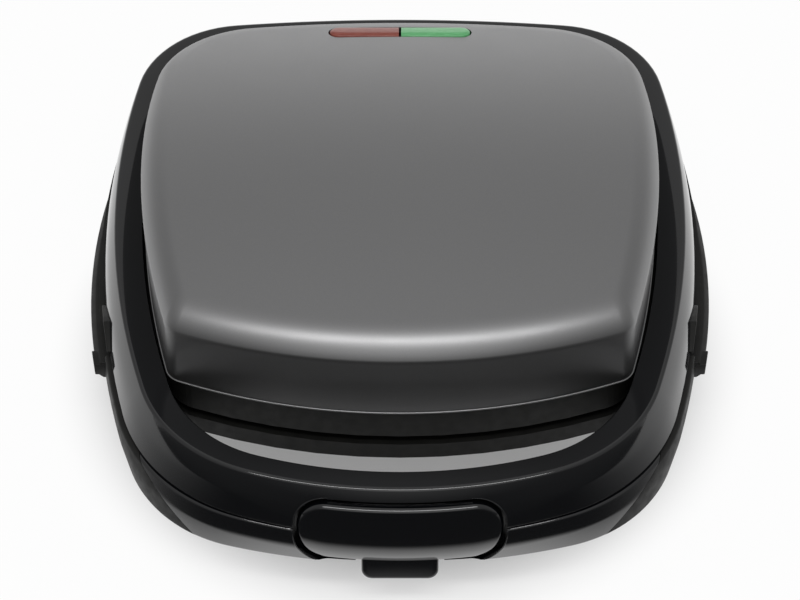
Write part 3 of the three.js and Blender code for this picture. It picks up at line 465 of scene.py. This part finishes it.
MATERIALS = {
    "gloss_black": gloss_black(),
    "matt_black": matt_black(),
    "grey_paint": grey_paint(),
    "nonstick": nonstick(),
    "heater_steel": metal("heater_steel", (0.34, 0.31, 0.28), 0.35),
    "bright_sheet": metal("bright_sheet", (0.62, 0.63, 0.64), 0.28, (1, 12, 1)),
    "zinc_steel": metal("zinc_steel", (0.47, 0.47, 0.48), 0.3),
    "ceramic_body": dull("ceramic_body", (0.66, 0.62, 0.54), (0.74, 0.71, 0.64), 0.7),
    "rubber_black": dull("rubber_black", (0.014, 0.014, 0.014), (0.024, 0.024, 0.024), 0.8, 900, 0.05),
    "red_window": window("red_window", (0.24, 0.05, 0.035), (0.32, 0.085, 0.06)),
    "green_window": window("green_window", (0.12, 0.44, 0.17), (0.18, 0.56, 0.24)),
    "lamp_glass": lamp_glass(),
}


def piece(obj, body, slot, *stands_for):
    """Gives a piece its material, body and slot, and hides the solids it stands for."""
    obj.data.materials.clear()
    obj.data.materials.append(MATERIALS[slot])
    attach(obj, body)
    if stands_for:
        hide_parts(*stands_for)


# Lid cover

# The crown's radii along and across, and the place of its highest point along Y
CROWN_ALONG, CROWN_ACROSS, CROWN_APEX = 475.0, 1500.0, -20.0
# The shoulder's radius as a share of its span, the bend below it and the angle where they meet, and the wall
SHOULDER_SHARE, BEND, BEND_TURN, WALL = 1.15, 4.0, 33.0, 2.4
# Steps of the arcs of the skin's two sides, and the loops of the crown as shares of its size
OUTER_STEPS, INNER_STEPS = 18, 8
OUTER_SHARES = (0.97, 0.93, 0.88, 0.82, 0.75, 0.66, 0.56, 0.45, 0.33, 0.2, 0.08)
INNER_SHARES = (0.8, 0.5, 0.2)
LIP_BEAD = 0.4


def crown_height(x, y):
    return TOP - x * x / (2 * CROWN_ACROSS) - (y - CROWN_APEX) ** 2 / (2 * CROWN_ALONG)


def cover_loops(wall, steps, shares):
    """Loops of the cover's skin, set in by wall: lip, steep wall, tight bend, wide shoulder, crown."""
    foot = outline(COVER, wall)
    crown = outline(CROWN)
    out = unit(foot - crown)
    span = np.linalg.norm(foot - crown, axis=1)
    lean = np.arctan((crown[:, 0] / CROWN_ACROSS) * out[:, 0]
                     + ((crown[:, 1] - CROWN_APEX) / CROWN_ALONG) * out[:, 1])
    turn = math.radians(BEND_TURN)
    wide, tight = SHOULDER_SHARE * (span + wall) - wall, BEND - wall
    reach = -wide * np.sin(lean)
    height = crown_height(crown[:, 0], crown[:, 1]) - wall - wide * np.cos(lean)
    bend_reach = reach + (wide - tight) * math.cos(turn)
    bend_height = height + (wide - tight) * math.sin(turn)
    ds, dz = span - bend_reach, LIP - bend_height
    start = np.arctan2(dz, ds) + np.arccos(tight / np.hypot(ds, dz))
    loops = [at_height(foot, LIP)]

    def arc(along, high, radius, low, top, first):
        for k in range(first, steps + 1):
            angle = low + (top - low) * k / steps
            s, z = along + radius * np.cos(angle), high + radius * np.sin(angle)
            loops.append(np.column_stack([crown + out * s[:, None], z]))

    arc(bend_reach, bend_height, tight, start, turn, 0)
    arc(reach, height, wide, turn, math.pi / 2 - lean, 1)
    middle = np.array([0.0, (CROWN["back"] - CROWN["front"]) / 2])
    for share in shares:
        p = middle + (crown - middle) * share
        loops.append(np.column_stack([p, crown_height(p[:, 0], p[:, 1]) - wall]))
    return np.array(loops)


# The two lamp windows in their one hole, the gap round them and half the gap between them
LAMP_WIDE, LAMP_DEEP, LAMP_Y = 59.0, 8.6, 105.3
LAMP_ROUND, LAMP_BETWEEN = 0.3, 0.5
# The hole and the windows as (inset, height), and the size of the box that halves the pill
LAMP_HOLE = [(0, -9), (0, 6)]
LENS = [(0.35, -3.2), (0.35, -0.25), (0.5, 0.1), (0.9, 0.4), (1.6, 0.62), (2.4, 0.72), (3.4, 0.74)]
HALF_X, HALF_Y, HALF_Z = 60, [90, 120], [60, 100]
LAMP_SLOPE = math.atan((LAMP_Y - CROWN_APEX) / CROWN_ALONG)
LAMP_Z = crown_height(0, LAMP_Y)


# Steps of a pill's quarter circle and of its straight edges, and the least radius of its corners
PILL_STEPS, PILL_STRAIGHT, LEAST_CORNER = 14, 12, 0.05


def pill_points(width, tall, steps, corner):
    """A bar with rounded corners, which are its ends where they are as tall as the bar."""
    x, y = width / 2 - corner, tall / 2 - corner
    points = []
    for side in (1, -1):
        for high, start in ((-y, -0.5), (y, 0.0)):
            for i in range(steps + 1):
                a = math.pi * (start + 0.5 * i / steps)
                points.append((side * (x + corner * math.cos(a)), side * (high + corner * math.sin(a))))
        edge = [1 - 2 * k / PILL_STRAIGHT for k in range(1, PILL_STRAIGHT)]
        points += [(side * x * share, side * (y + corner)) for share in edge]
    kept = [p for i, p in enumerate(points) if math.dist(p, points[i - 1]) > SAME_POINT]
    return np.array(kept)


def pill_loops(width, tall, profile, steps=PILL_STEPS, corner=None):
    """Loops of a pill for pairs of (inset, height). Its ends are round where no corner is given."""
    base = tall / 2 if corner is None else corner
    loops = []
    for inset, height in profile:
        points = pill_points(width - 2 * inset, tall - 2 * inset, steps, max(base - inset, LEAST_CORNER))
        loops.append(at_height(points, height))
    return np.array(loops)


def on_plane(points, tilt, origin):
    """Turns points about X by tilt (radians), then moves them."""
    c, s = math.cos(tilt), math.sin(tilt)
    x, y, z = np.moveaxis(np.asarray(points, float), -1, 0)
    return np.stack([x, y * c - z * s, y * s + z * c], -1) + np.array(origin, float)


def on_lamp_slope(points):
    return on_plane(points, -LAMP_SLOPE, (0, LAMP_Y, LAMP_Z))


def make_cover():
    """Skin of even thickness, with the lamps' hole and a bead along its lip."""
    outer = cover_loops(0.0, OUTER_STEPS, OUTER_SHARES)
    inner = cover_loops(WALL, INNER_STEPS, INNER_SHARES)
    cover = smooth(loft("cover_shell", np.concatenate([outer[::-1], inner])), SHARP_SHELL)
    wide, deep = LAMP_WIDE + 2 * LAMP_ROUND, LAMP_DEEP + 2 * LAMP_ROUND
    carve(cover, [loft("lamp_hole", on_lamp_slope(pill_loops(wide, deep, LAMP_HOLE)))])
    lip = tube("cover_lip", at_height(outline(COVER), LIP + LIP_BEAD), LIP_BEAD, closed=True)
    piece(lip, "lid", "grey_paint")
    piece(cover, "lid", "grey_paint", "lid_cover")


def make_lenses():
    """Each window is one half of the pill: the box takes the other half and the gap away."""
    for name, side in (("red", -1), ("green", 1)):
        pill = on_lamp_slope(pill_loops(LAMP_WIDE, LAMP_DEEP, LENS))
        lens = smooth(loft(f"{name}_window", pill), SHARP_LOFT)
        edge = side * LAMP_BETWEEN
        carve(lens, [box("half", sorted((edge, edge - side * HALF_X)), HALF_Y, HALF_Z)])
        piece(lens, "lid", f"{name}_window", f"{name}_lens")


# Handle ring of the lid

# How far its edges lie in from their outlines, the height of its lower edge, and the radii of its corners
RING_INNER_IN, RING_CREASE_IN, RING_FOOT_IN, RING_FLOOR_IN = 10.8, 0.15, 1.1, 9.5
RING_EDGE_TALL = 0.9
RING_RADII = (1.2, 1.5, 30, 0.5, 0.3, 0.3)
# The outer face bulges, more at the sides. The crease rises at the back, from a place along Y over a length.
RING_BULGE_LEAST, RING_BULGE = 0.05, 1.1
RING_BACK_RISE, RISE_FROM, RISE_OVER = 1.2, 40, 80


def make_ring(cutters):
    """The band all round the cover, from its inner edge over the crease to the foot of its outer face."""
    loops = rows(
        (RING, RING_INNER_IN, RING_INNER_TOP), (RING, RING_CREASE_IN, RING_CREASE),
        (FLARE, 0, RING_LOW + RING_EDGE_TALL), (FLARE, RING_FOOT_IN, RING_LOW),
        (RING, RING_FLOOR_IN, RING_LOW),
    )
    loops[1][:, 2] += RING_BACK_RISE * np.clip((loops[1][:, 1] - RISE_FROM) / RISE_OVER, 0, 1)
    middle = (loops[1] + loops[2]) / 2
    out = unit(loops[2] - loops[4]) * [1, 1, 0]
    middle += out * (RING_BULGE_LEAST + RING_BULGE * out[:, :1] ** 2)
    loops = np.insert(loops, 2, middle, axis=0)
    ring = smooth(loft("handle_ring", filleted(loops, RING_RADII), ring=True), SHARP_LOFT)
    carve(ring, cutters)
    recess_rims("ring_rim", ring, "lid")
    piece(ring, "lid", "gloss_black", "lid_ring")


# Latch

# The bar: its size, how far it leans back (degrees), its middle, and the radius of the front that it follows
LATCH_WIDE, LATCH_TALL, LATCH_THICK, LATCH_LEAN = 74.4, 22.6, 5.2, 16.0
LATCH_Z, LATCH_FACE, LATCH_BEND = 47.05, -131.0, 185.0
# The lower half of the bar is longer, and rolls in below ROLL_FROM
LATCH_LOW, ROLL_FROM, ROLL_RADIUS = 1.47, 0.8, 19.0
# Its dome, the radius of its front edge, the chamfer behind, and the loops of the dome as shares of its half
LATCH_CROWN, LATCH_EDGE, LATCH_CHAMFER = 1.2, 1.5, 0.6
DOME_SHARES = (0.18, 0.25, 0.34, 0.43, 0.52, 0.62, 0.72, 0.83, 0.91, 0.99)
# Steps of a quarter circle at its ends and over its edge
LATCH_STEPS, EDGE_STEPS = 20, 8
# The tongue: its size, lean (degrees) and front, the radius of its corners, and its section
TONGUE_WIDE, TONGUE_TOP, TONGUE_LOW, TONGUE_LEAN, TONGUE_FACE = 28, 42.0, 21.0, 13, -128.6
TONGUE_STEPS, TONGUE_CORNER = 8, 4
TONGUE = [(0.5, 0), (0, 0.5), (0, 2.3), (0.2, 2.75), (0.55, 2.96), (1.2, 3)]
# The recess: how much wider and taller it is on each side, its depth behind the bar, and the cutter's reach
RECESS_SIDE, RECESS_GROW, RECESS_DEEP, RECESS_REACH = 1.3, 1.7, 2.4, 14
# Beads on its rim: how far out and between which heights the edge is looked for, and their radius and taper
RIM_OUT, RIM_LOW, RIM_HIGH, RIM_BEAD, RIM_TAPER, RIM_THIN = 0.25, -9, 8, 0.4, 10, 0.1
# How deep the edge is looked for and the widest step along one bead (m), and the points of the shortest bead
RIM_DEPTH, RIM_STEP, RIM_POINTS = 0.017, 0.004, 5


def bent(points):
    """Follows the round front of the handles."""
    points = np.array(points, float)
    points[..., 1] += points[..., 0] ** 2 / (2 * LATCH_BEND)
    return points


def on_latch_face(points):
    """Lays points on the bar's face, the lower half drawn out and rolled in."""
    points = np.array(points, float)
    low = points[..., 1] < 0
    points[..., 1] = np.where(low, points[..., 1] * LATCH_LOW, points[..., 1])
    points[..., 2] -= np.maximum(-ROLL_FROM - points[..., 1], 0) ** 2 / (2 * ROLL_RADIUS)
    return bent(on_plane(points, math.radians(90 - LATCH_LEAN), (0, LATCH_FACE, LATCH_Z)))


def recess_pill(low, high, grow=0.0):
    """The outline of the latch's recess, from low to high over the latch's face."""
    wide = LATCH_WIDE + 2 * (RECESS_SIDE + grow)
    return pill_loops(wide, LATCH_TALL + 2 * (RECESS_GROW + grow), [(0, low), (0, high)], LATCH_STEPS)


def latch_recess(name):
    """Cutter for the recess that the bar lies in."""
    return loft(name, on_latch_face(recess_pill(-LATCH_THICK - RECESS_DEEP, RECESS_REACH)))


def recess_rims(name, obj, body):
    """Beads along the edge that the recess cuts into a handle."""
    low, high = on_latch_face(recess_pill(RIM_LOW, RIM_HIGH, RIM_OUT)) * MM
    tree = BVHTree.FromObject(obj, bpy.context.evaluated_depsgraph_get())
    runs, run = [], []
    for start, end in zip(high, low):
        place = tree.ray_cast(Vector(start), Vector(end - start).normalized(), RIM_DEPTH)[0]
        if place is None or (run and (place - run[-1]).length > RIM_STEP):
            runs.append(run)
            run = []
        if place is not None:
            run.append(place)
    if runs and runs[0] and run and (runs[0][0] - run[-1]).length < RIM_STEP:
        runs[0] = run + runs[0]
    else:
        runs.append(run)
    for k, places in enumerate(r for r in runs if len(r) >= RIM_POINTS):
        ends = np.arange(len(places))
        taper = np.clip(np.minimum(ends, ends[::-1]) / RIM_TAPER, RIM_THIN, 1)
        piece(tube(f"{name}_{k}", np.array(places) / MM, RIM_BEAD * taper), body, "gloss_black")


def make_latch():
    """The domed bar, and the tongue that hangs below it."""
    half = LATCH_TALL / 2
    dome = lambda inset: LATCH_CROWN * (1 - ((half - inset) / half) ** 2)
    profile = [(DOME_SHARES[-1] * half, -LATCH_THICK),
               (LATCH_CHAMFER, -LATCH_THICK), (0, LATCH_CHAMFER - LATCH_THICK)]
    for i in range(EDGE_STEPS + 1):
        a = math.pi / 2 * i / EDGE_STEPS
        inset = LATCH_EDGE * (1 - math.cos(a))
        profile.append((inset, dome(inset) - LATCH_EDGE * (1 - math.sin(a))))
    profile += [(share * half, dome(share * half)) for share in DOME_SHARES]
    loops = pill_loops(LATCH_WIDE, LATCH_TALL, profile, LATCH_STEPS)
    loops[[0, -1], :, 1] = 0
    bar = smooth(loft("latch_bar", on_latch_face(loops), caps=False), SHARP_ROUND)
    piece(bar, "latch", "gloss_black", "latch")
    tall = TONGUE_TOP - TONGUE_LOW
    tongue = pill_loops(TONGUE_WIDE, tall, TONGUE, TONGUE_STEPS, TONGUE_CORNER) + [0, tall / 2, 0]
    tongue = on_plane(tongue, math.radians(90 - TONGUE_LEAN), (0, TONGUE_FACE, TONGUE_LOW))
    piece(smooth(loft("latch_tongue", tongue), SHARP_LOFT), "latch", "gloss_black")


# Handle loop of the base

# Its width, the levels of its bulge, of the edge below and of its underside, and the insets of its edges
LOOP_WIDE, BULGE_Z, UNDER_Z, LOOP_LOW = 17.5, 38.5, 28, 25.5
LOOP_TOP_IN, BULGE_IN, UNDER_IN, UNDER_INNER_IN = 0.4, -0.6, 3.5, 9.5
LOOP_RADII = (0.8, 1.4, 9, 2.4, 1.2, 1.2, 1.2)
# The stretch of it that is the glossy handle: half its width at two levels, its places along Y, and the gap
SPAN_LOW, SPAN_HIGH, SPAN_LOW_Z, SPAN_HIGH_Z = 70, 99, 23.5, 49.6
SPAN_DEEP, SPAN_GAP = (-60, -150), 0.3
NOTCH_X, NOTCH_Y, NOTCH_Z = [-16.2, 16.2], [-140, -121], [20, LATCH_Z]


def loop_rows():
    """Section of the whole loop, from the inner top edge round the outside to the inner lower edge."""
    loops = rows(
        (LOOP, LOOP_WIDE, HANDLE_TOP), (LOOP, LOOP_TOP_IN, HANDLE_TOP), (LOOP, BULGE_IN, BULGE_Z),
        (UNDER, 0, UNDER_Z), (UNDER, UNDER_IN, LOOP_LOW), (UNDER, UNDER_INNER_IN, LOOP_LOW),
        (LOOP, LOOP_WIDE, UNDER_Z),
    )
    return filleted(loops, LOOP_RADII)


def span_cutter(name, grow=0):
    """Prism round the stretch of the loop that is the glossy handle."""
    low, high = SPAN_LOW + grow, SPAN_HIGH + grow
    shape = [(-low, SPAN_LOW_Z), (low, SPAN_LOW_Z), (high, SPAN_HIGH_Z), (-high, SPAN_HIGH_Z)]
    return slab(name, *([(x, y, z) for x, z in shape] for y in SPAN_DEEP))


def make_handle():
    """The glossy stretch of the loop, with the latch's recess and the notch behind its tongue."""
    handle = smooth(loft("lower_handle", loop_rows(), ring=True), SHARP_LOFT)
    source = handle.data.copy()
    cut(handle, "INTERSECT", span_cutter("span"))
    cut(handle, "DIFFERENCE", latch_recess("handle_recess"))
    cut(handle, "DIFFERENCE", box("notch", NOTCH_X, NOTCH_Y, NOTCH_Z))
    shade_like(handle, source)
    recess_rims("handle_rim", handle, "base")
    piece(handle, "base", "gloss_black", "base_handle")


# Housing of the base

# The tub: its wall, the inset of the middle of its floor, the chamfer under it, and the radii of its corners
TUB_WALL, TUB_MIDDLE_IN, TUB_CHAMFER = 2.6, 30, 2
TUB_RADII = (0, 1.5, 3, 0.6, 0.4, 1, 0)
# What is cut off the top of the loop, at the sides from a place along Y and lower at the rear
CUT_X, SIDE_CUT_Y, REAR_CUT_Y = [-140, 140], [-44.5, 140], [99, 140]
SIDE_CUT_Z, REAR_CUT_Z = [44.2, 50], [41.2, 50]
SIDES = (("left", -1), ("right", 1))


def make_housing():
    """The tub, and the matt rest of the loop."""
    floor, inside = TUB_LOW, TUB_LOW + TUB_WALL
    tub = rows(
        (TUB_FLOOR, TUB_MIDDLE_IN, floor), (TUB_FLOOR, TUB_CHAMFER, floor),
        (TUB_FLOOR, 0, floor + TUB_CHAMFER), (TUB, 0, TUB_TOP), (TUB, TUB_WALL, TUB_TOP),
        (TUB_FLOOR, TUB_WALL, inside), (TUB_FLOOR, TUB_MIDDLE_IN, inside),
    )
    shell = smooth(loft("base_tub", filleted(tub, TUB_RADII)), SHARP_SHELL)
    piece(shell, "base", "matt_black", "base_housing")
    loop = smooth(loft("base_sides", loop_rows(), ring=True), SHARP_LOFT)
    carve(loop, [span_cutter("gap", SPAN_GAP),
                 box("side_top", CUT_X, SIDE_CUT_Y, SIDE_CUT_Z),
                 box("rear_top", CUT_X, REAR_CUT_Y, REAR_CUT_Z)])
    piece(loop, "base", "matt_black")


def side_strip(name, side, section, y0, y1, steps=40):
    """A bar along one side: section points are (outline, inset, z), between two places along Y."""
    ys = np.linspace(y0, y1, steps)
    loops = []
    for o, inset, z in section:
        loops.append(np.column_stack([side * reach_at(ys, o, inset), ys, np.full(steps, float(z))]))
    return loft(name, loops, ring=True, open_path=True)


# Sections and places along Y of the wings under the ring and of the flanks between tub and loop
WING_SECTION = [(WING, 20, 35.2), (WING, 2.2, 35), (WING, 0, 37.2),
                (WING, 0, 41.4), (WING, 2.2, 43.6), (WING, 20, 43.6)]
FLANK_SECTION = [(TUB, -0.3, 29), (LOOP, 8.7, 29), (LOOP, 8.7, 44), (TUB, -0.3, 44)]
WING_SPAN, WING_EDGE = (-45.7, 79.5), 0.5
FLANK_SPAN, FLANK_EDGE = (-55.5, 95), 0.4


def make_strips():
    """The wings and the flanks of both sides."""
    for name, side in SIDES:
        wing = side_strip(f"base_wing_{name}", side, WING_SECTION, *WING_SPAN)
        piece(bevel(wing, WING_EDGE), "base", "matt_black")
    for name, side in SIDES:
        flank = side_strip(f"base_flank_{name}", side, FLANK_SECTION, *FLANK_SPAN)
        piece(bevel(flank, FLANK_EDGE, 2), "base", "matt_black")


# Release buttons

# Side views (y, z) of the buttons and of the ring's notch over the lid's, how far the buttons stand proud of
# their outlines, their places across at the inner end, and the notch's places across
LID_BUTTON = [(-20.5, 47.8), (-45, 47.8), (-45, 49.2), (-33, 53.2), (-20.5, 49.2)]
BASE_BUTTON = [(-38.4, 37), (-46, 37), (-46, 42.6), (-38.4, 42.6)]
LID_NOTCH = [(-20, 44), (-45.5, 44), (-45.5, 49.7), (-33, 53.7), (-20, 49.7)]
BUTTON_PROUD, LID_BUTTON_X, BASE_BUTTON_X, NOTCH_ACROSS = 0.8, 101, 105, (98, 125)
BUTTON_EDGE = 0.45


def button(name, side, shape, o, inner):
    """A button of side view shape, whose outer face stands proud of an outline."""
    near = [(side * inner, y, z) for y, z in shape]
    far = [(side * float(reach_at(y, o, -BUTTON_PROUD)), y, z) for y, z in shape]
    return bevel(slab(name, near, far), BUTTON_EDGE)


def make_buttons():
    """Two wedges on the lid's strip and two blocks on the base."""
    for name, side in SIDES:
        made = button(f"lid_button_{name}", side, LID_BUTTON, FLARE, LID_BUTTON_X)
        piece(made, f"lid_release_{name}", "matt_black", f"lid_release_{name}")
        made = button(f"base_button_{name}", side, BASE_BUTTON, WING, BASE_BUTTON_X)
        piece(made, f"base_release_{name}", "matt_black", f"base_release_{name}")


def lid_notch(name, side):
    """Cutter for the button's opening in the ring."""
    across = sorted(side * x for x in NOTCH_ACROSS)
    return slab(name, *([(x, y, z) for y, z in LID_NOTCH] for x in across))


# Studio

FLOOR_SIZE, FLOOR_GREYS = 24.0, ((0.85, 0.85, 0.85), (0.87, 0.87, 0.87))
# White that the floor shows under the object and beyond it, and where it changes (m). The camera sees the
# real shadow under the object; glossy pieces see the low white there as a painted shadow
FLOOR_WHITE, FLOOR_REACH = (0.26, 0.95), (0.1, 0.145)
# White that it shows to glossy pieces, a painted shade of the dark studio: by direction, as the studio is
# dark in front, and by distance, dark far off in front (m)
FLOOR_SECTOR, MIRROR_FRONT_SHADE = (-0.85, 0.1), (0.06, 1.0)
FLOOR_NEAR, MIRROR_FAR_SHADE = (0.15, 0.182), (1.0, 0.06)


def join_math(tree, operation, *inputs):
    made = tree.nodes.new("ShaderNodeMath")
    made.operation = operation
    for socket, value in zip(made.inputs, inputs):
        if isinstance(value, float):
            socket.default_value = value
        else:
            tree.links.new(value, socket)
    return made.outputs["Value"]


def shader_mix(tree, share, first, second):
    mix = tree.nodes.new("ShaderNodeMixShader")
    tree.links.new(share, mix.inputs[0])
    tree.links.new(first.outputs[0], mix.inputs[1])
    tree.links.new(second.outputs[0], mix.inputs[2])
    return mix.outputs[0]


def floor_levels(m):
    """How white the floor is to the camera, and how strong it glows to mirrored rays: painted shadow under
    the object and painted shade far off in front.
    """
    tree = m.node_tree
    where = node(m, "ShaderNodeTexCoord").outputs["Object"]
    away = node(m, "ShaderNodeVectorMath", operation="LENGTH")
    toward = node(m, "ShaderNodeVectorMath", operation="NORMALIZE")
    split = node(m, "ShaderNodeSeparateXYZ")
    tree.links.new(where, away.inputs[0])
    tree.links.new(where, toward.inputs[0])
    tree.links.new(toward.outputs["Vector"], split.inputs["Vector"])
    share = ranged(tree, away.outputs["Value"], FLOOR_REACH, FLOOR_WHITE)
    sector = ranged(tree, split.outputs["Y"], FLOOR_SECTOR, MIRROR_FRONT_SHADE)
    near = ranged(tree, away.outputs["Value"], FLOOR_NEAR, MIRROR_FAR_SHADE)
    # The strength to glossy rays holds painted shade far off in front and a painted shadow under the object
    return share, join_math(tree, "MULTIPLY", join_math(tree, "MAXIMUM", sector, near), share)


def make_floor():
    """A pale floor that keeps the shadow and is white to camera rays. To mirrored and transmitted rays it
    glows white, with painted shadow under the object and painted shade far off in front.
    """
    bpy.ops.mesh.primitive_plane_add(size=FLOOR_SIZE)
    floor = bpy.context.object
    floor.name = "floor"
    m = dull("floor", *FLOOR_GREYS, 0.9, 60, 0.2)
    tree = m.node_tree
    share, mirror = floor_levels(m)
    path = node(m, "ShaderNodeLightPath").outputs
    glossy = join_math(tree, "MAXIMUM", path["Is Glossy Ray"], path["Is Transmission Ray"])
    part = join_math(tree, "MAXIMUM", join_math(tree, "MULTIPLY", path["Is Camera Ray"], share), glossy)
    white = node(m, "ShaderNodeEmission")
    white.inputs["Color"].default_value = (1, 1, 1, 1)
    # Mirrored and transmitted rays see the painted shadow and shade of the floor's glow
    tree.links.new(join_math(tree, "MAXIMUM", path["Is Camera Ray"], mirror), white.inputs["Strength"])
    shown = shader_mix(tree, part, tree.nodes["Principled BSDF"], white)
    tree.links.new(shown, tree.nodes["Material Output"].inputs["Surface"])
    floor.data.materials.append(m)


# The strip lamp (m, W)
STRIP_PLACE, STRIP_TARGET, STRIP_SIZE, STRIP_POWER = (0, -0.65, 1.4), (0, -0.04, 0.05), (1.2, 0.15), 6.8


def make_strip_lamp():
    light = bpy.data.lights.new("front", "AREA")
    light.shape, light.size, light.size_y = "RECTANGLE", *STRIP_SIZE
    light.energy = STRIP_POWER
    obj = bpy.data.objects.new("front", light)
    obj.location = STRIP_PLACE
    obj.rotation_euler = (Vector(STRIP_TARGET) - Vector(STRIP_PLACE)).to_track_quat("-Z", "Y").to_euler()
    bpy.context.scene.collection.objects.link(obj)


# Light of the studio by the angle over the horizon (degrees, from the front over the top to the back), at
# most SKY_TOP, in the middle and at the sides. SIDE_REACH is where one turns into the other, across.
MIDDLE_SKY = [(0, 0.04), (13, 0.08), (20, 0.5), (30, 1.15), (42, 1.1), (58, 0.9),
              (80, 0.8), (96, 0.68), (110, 0.66), (126, 0.7), (138, 0.48), (148, 0.5),
              (156, 0.72), (164, 1.15), (172, 1.55), (180, 2.2)]
SIDE_SKY = [(0, 0.08), (20, 0.16), (45, 0.4), (90, 0.5), (140, 0.46), (160, 0.55), (180, 0.75)]
SKY_TOP, SIDE_REACH = 2.5, (0.05, 0.6)


def sky_ramp(tree, angle, stops):
    ramp = tree.nodes.new("ShaderNodeValToRGB")
    made = ramp.color_ramp.elements
    while len(made) < len(stops):
        made.new(0.5)
    for stop, (degrees, light) in zip(made, stops):
        grey = light / SKY_TOP  # the strength of the background takes it back up
        stop.position, stop.color = degrees / 180, (grey, grey, grey, 1)
    tree.links.new(angle, ramp.inputs["Fac"])
    return ramp.outputs["Color"]


def studio_sky(tree):
    """The light by direction: up from the front over the top to the back, and towards the sides."""
    where = tree.nodes.new("ShaderNodeTexCoord")
    split = tree.nodes.new("ShaderNodeSeparateXYZ")
    tree.links.new(where.outputs["Generated"], split.inputs["Vector"])
    ahead = join_math(tree, "MULTIPLY", split.outputs["Y"], -1.0)
    angle = join_math(tree, "DIVIDE", join_math(tree, "ARCTAN2", split.outputs["Z"], ahead), math.pi)
    aside = ranged(tree, join_math(tree, "ABSOLUTE", split.outputs["X"]), SIDE_REACH, (0.0, 1.0))
    middle, side, mixed = colour_mix(tree, aside)
    tree.links.new(sky_ramp(tree, angle, MIDDLE_SKY), middle)
    tree.links.new(sky_ramp(tree, angle, SIDE_SKY), side)
    return mixed


def make_world():
    """The sky lights the object, and camera rays see white."""
    world = bpy.data.worlds.new("studio")
    world.use_nodes = True
    tree = world.node_tree
    sky = tree.nodes["Background"]
    sky.inputs["Strength"].default_value = SKY_TOP
    tree.links.new(studio_sky(tree), sky.inputs["Color"])
    white = tree.nodes.new("ShaderNodeBackground")
    white.inputs["Color"].default_value = (1, 1, 1, 1)
    seen = tree.nodes.new("ShaderNodeLightPath").outputs["Is Camera Ray"]
    tree.links.new(shader_mix(tree, seen, sky, white), tree.nodes["World Output"].inputs["Surface"])
    bpy.context.scene.world = world


# The photograph's camera: sensor and lens (mm), clipping and place (m), and how far it looks down (degrees)
SENSOR, LENS_LENGTH, CLIP = 36.0, 104.13, (0.01, 50.0)
CAMERA_PLACE, LOOKS_DOWN = (0, -0.6325, 0.7082), 47


def make_camera():
    data = bpy.data.cameras.new("camera")
    data.sensor_width, data.lens = SENSOR, LENS_LENGTH
    data.clip_start, data.clip_end = CLIP
    cam = bpy.data.objects.new("camera", data)
    cam.location = CAMERA_PLACE
    cam.rotation_euler = (math.radians(90 - LOOKS_DOWN), 0, 0)
    bpy.context.scene.collection.objects.link(cam)
    bpy.context.scene.camera = cam


for subpart in frame["record"]["subparts"]:
    solid = frame["nodes"][subpart["node"]]
    solid.data.materials.clear()
    solid.data.materials.append(MATERIALS[subpart["material_slot"]])

make_cover()
make_lenses()
make_ring([latch_recess("ring_recess"), lid_notch("notch_l", -1), lid_notch("notch_r", 1)])
make_latch()
make_handle()
make_housing()
make_strips()
make_buttons()

bpy.context.scene.view_settings.view_transform = "Standard"
make_floor()
make_world()
make_strip_lamp()
make_camera()
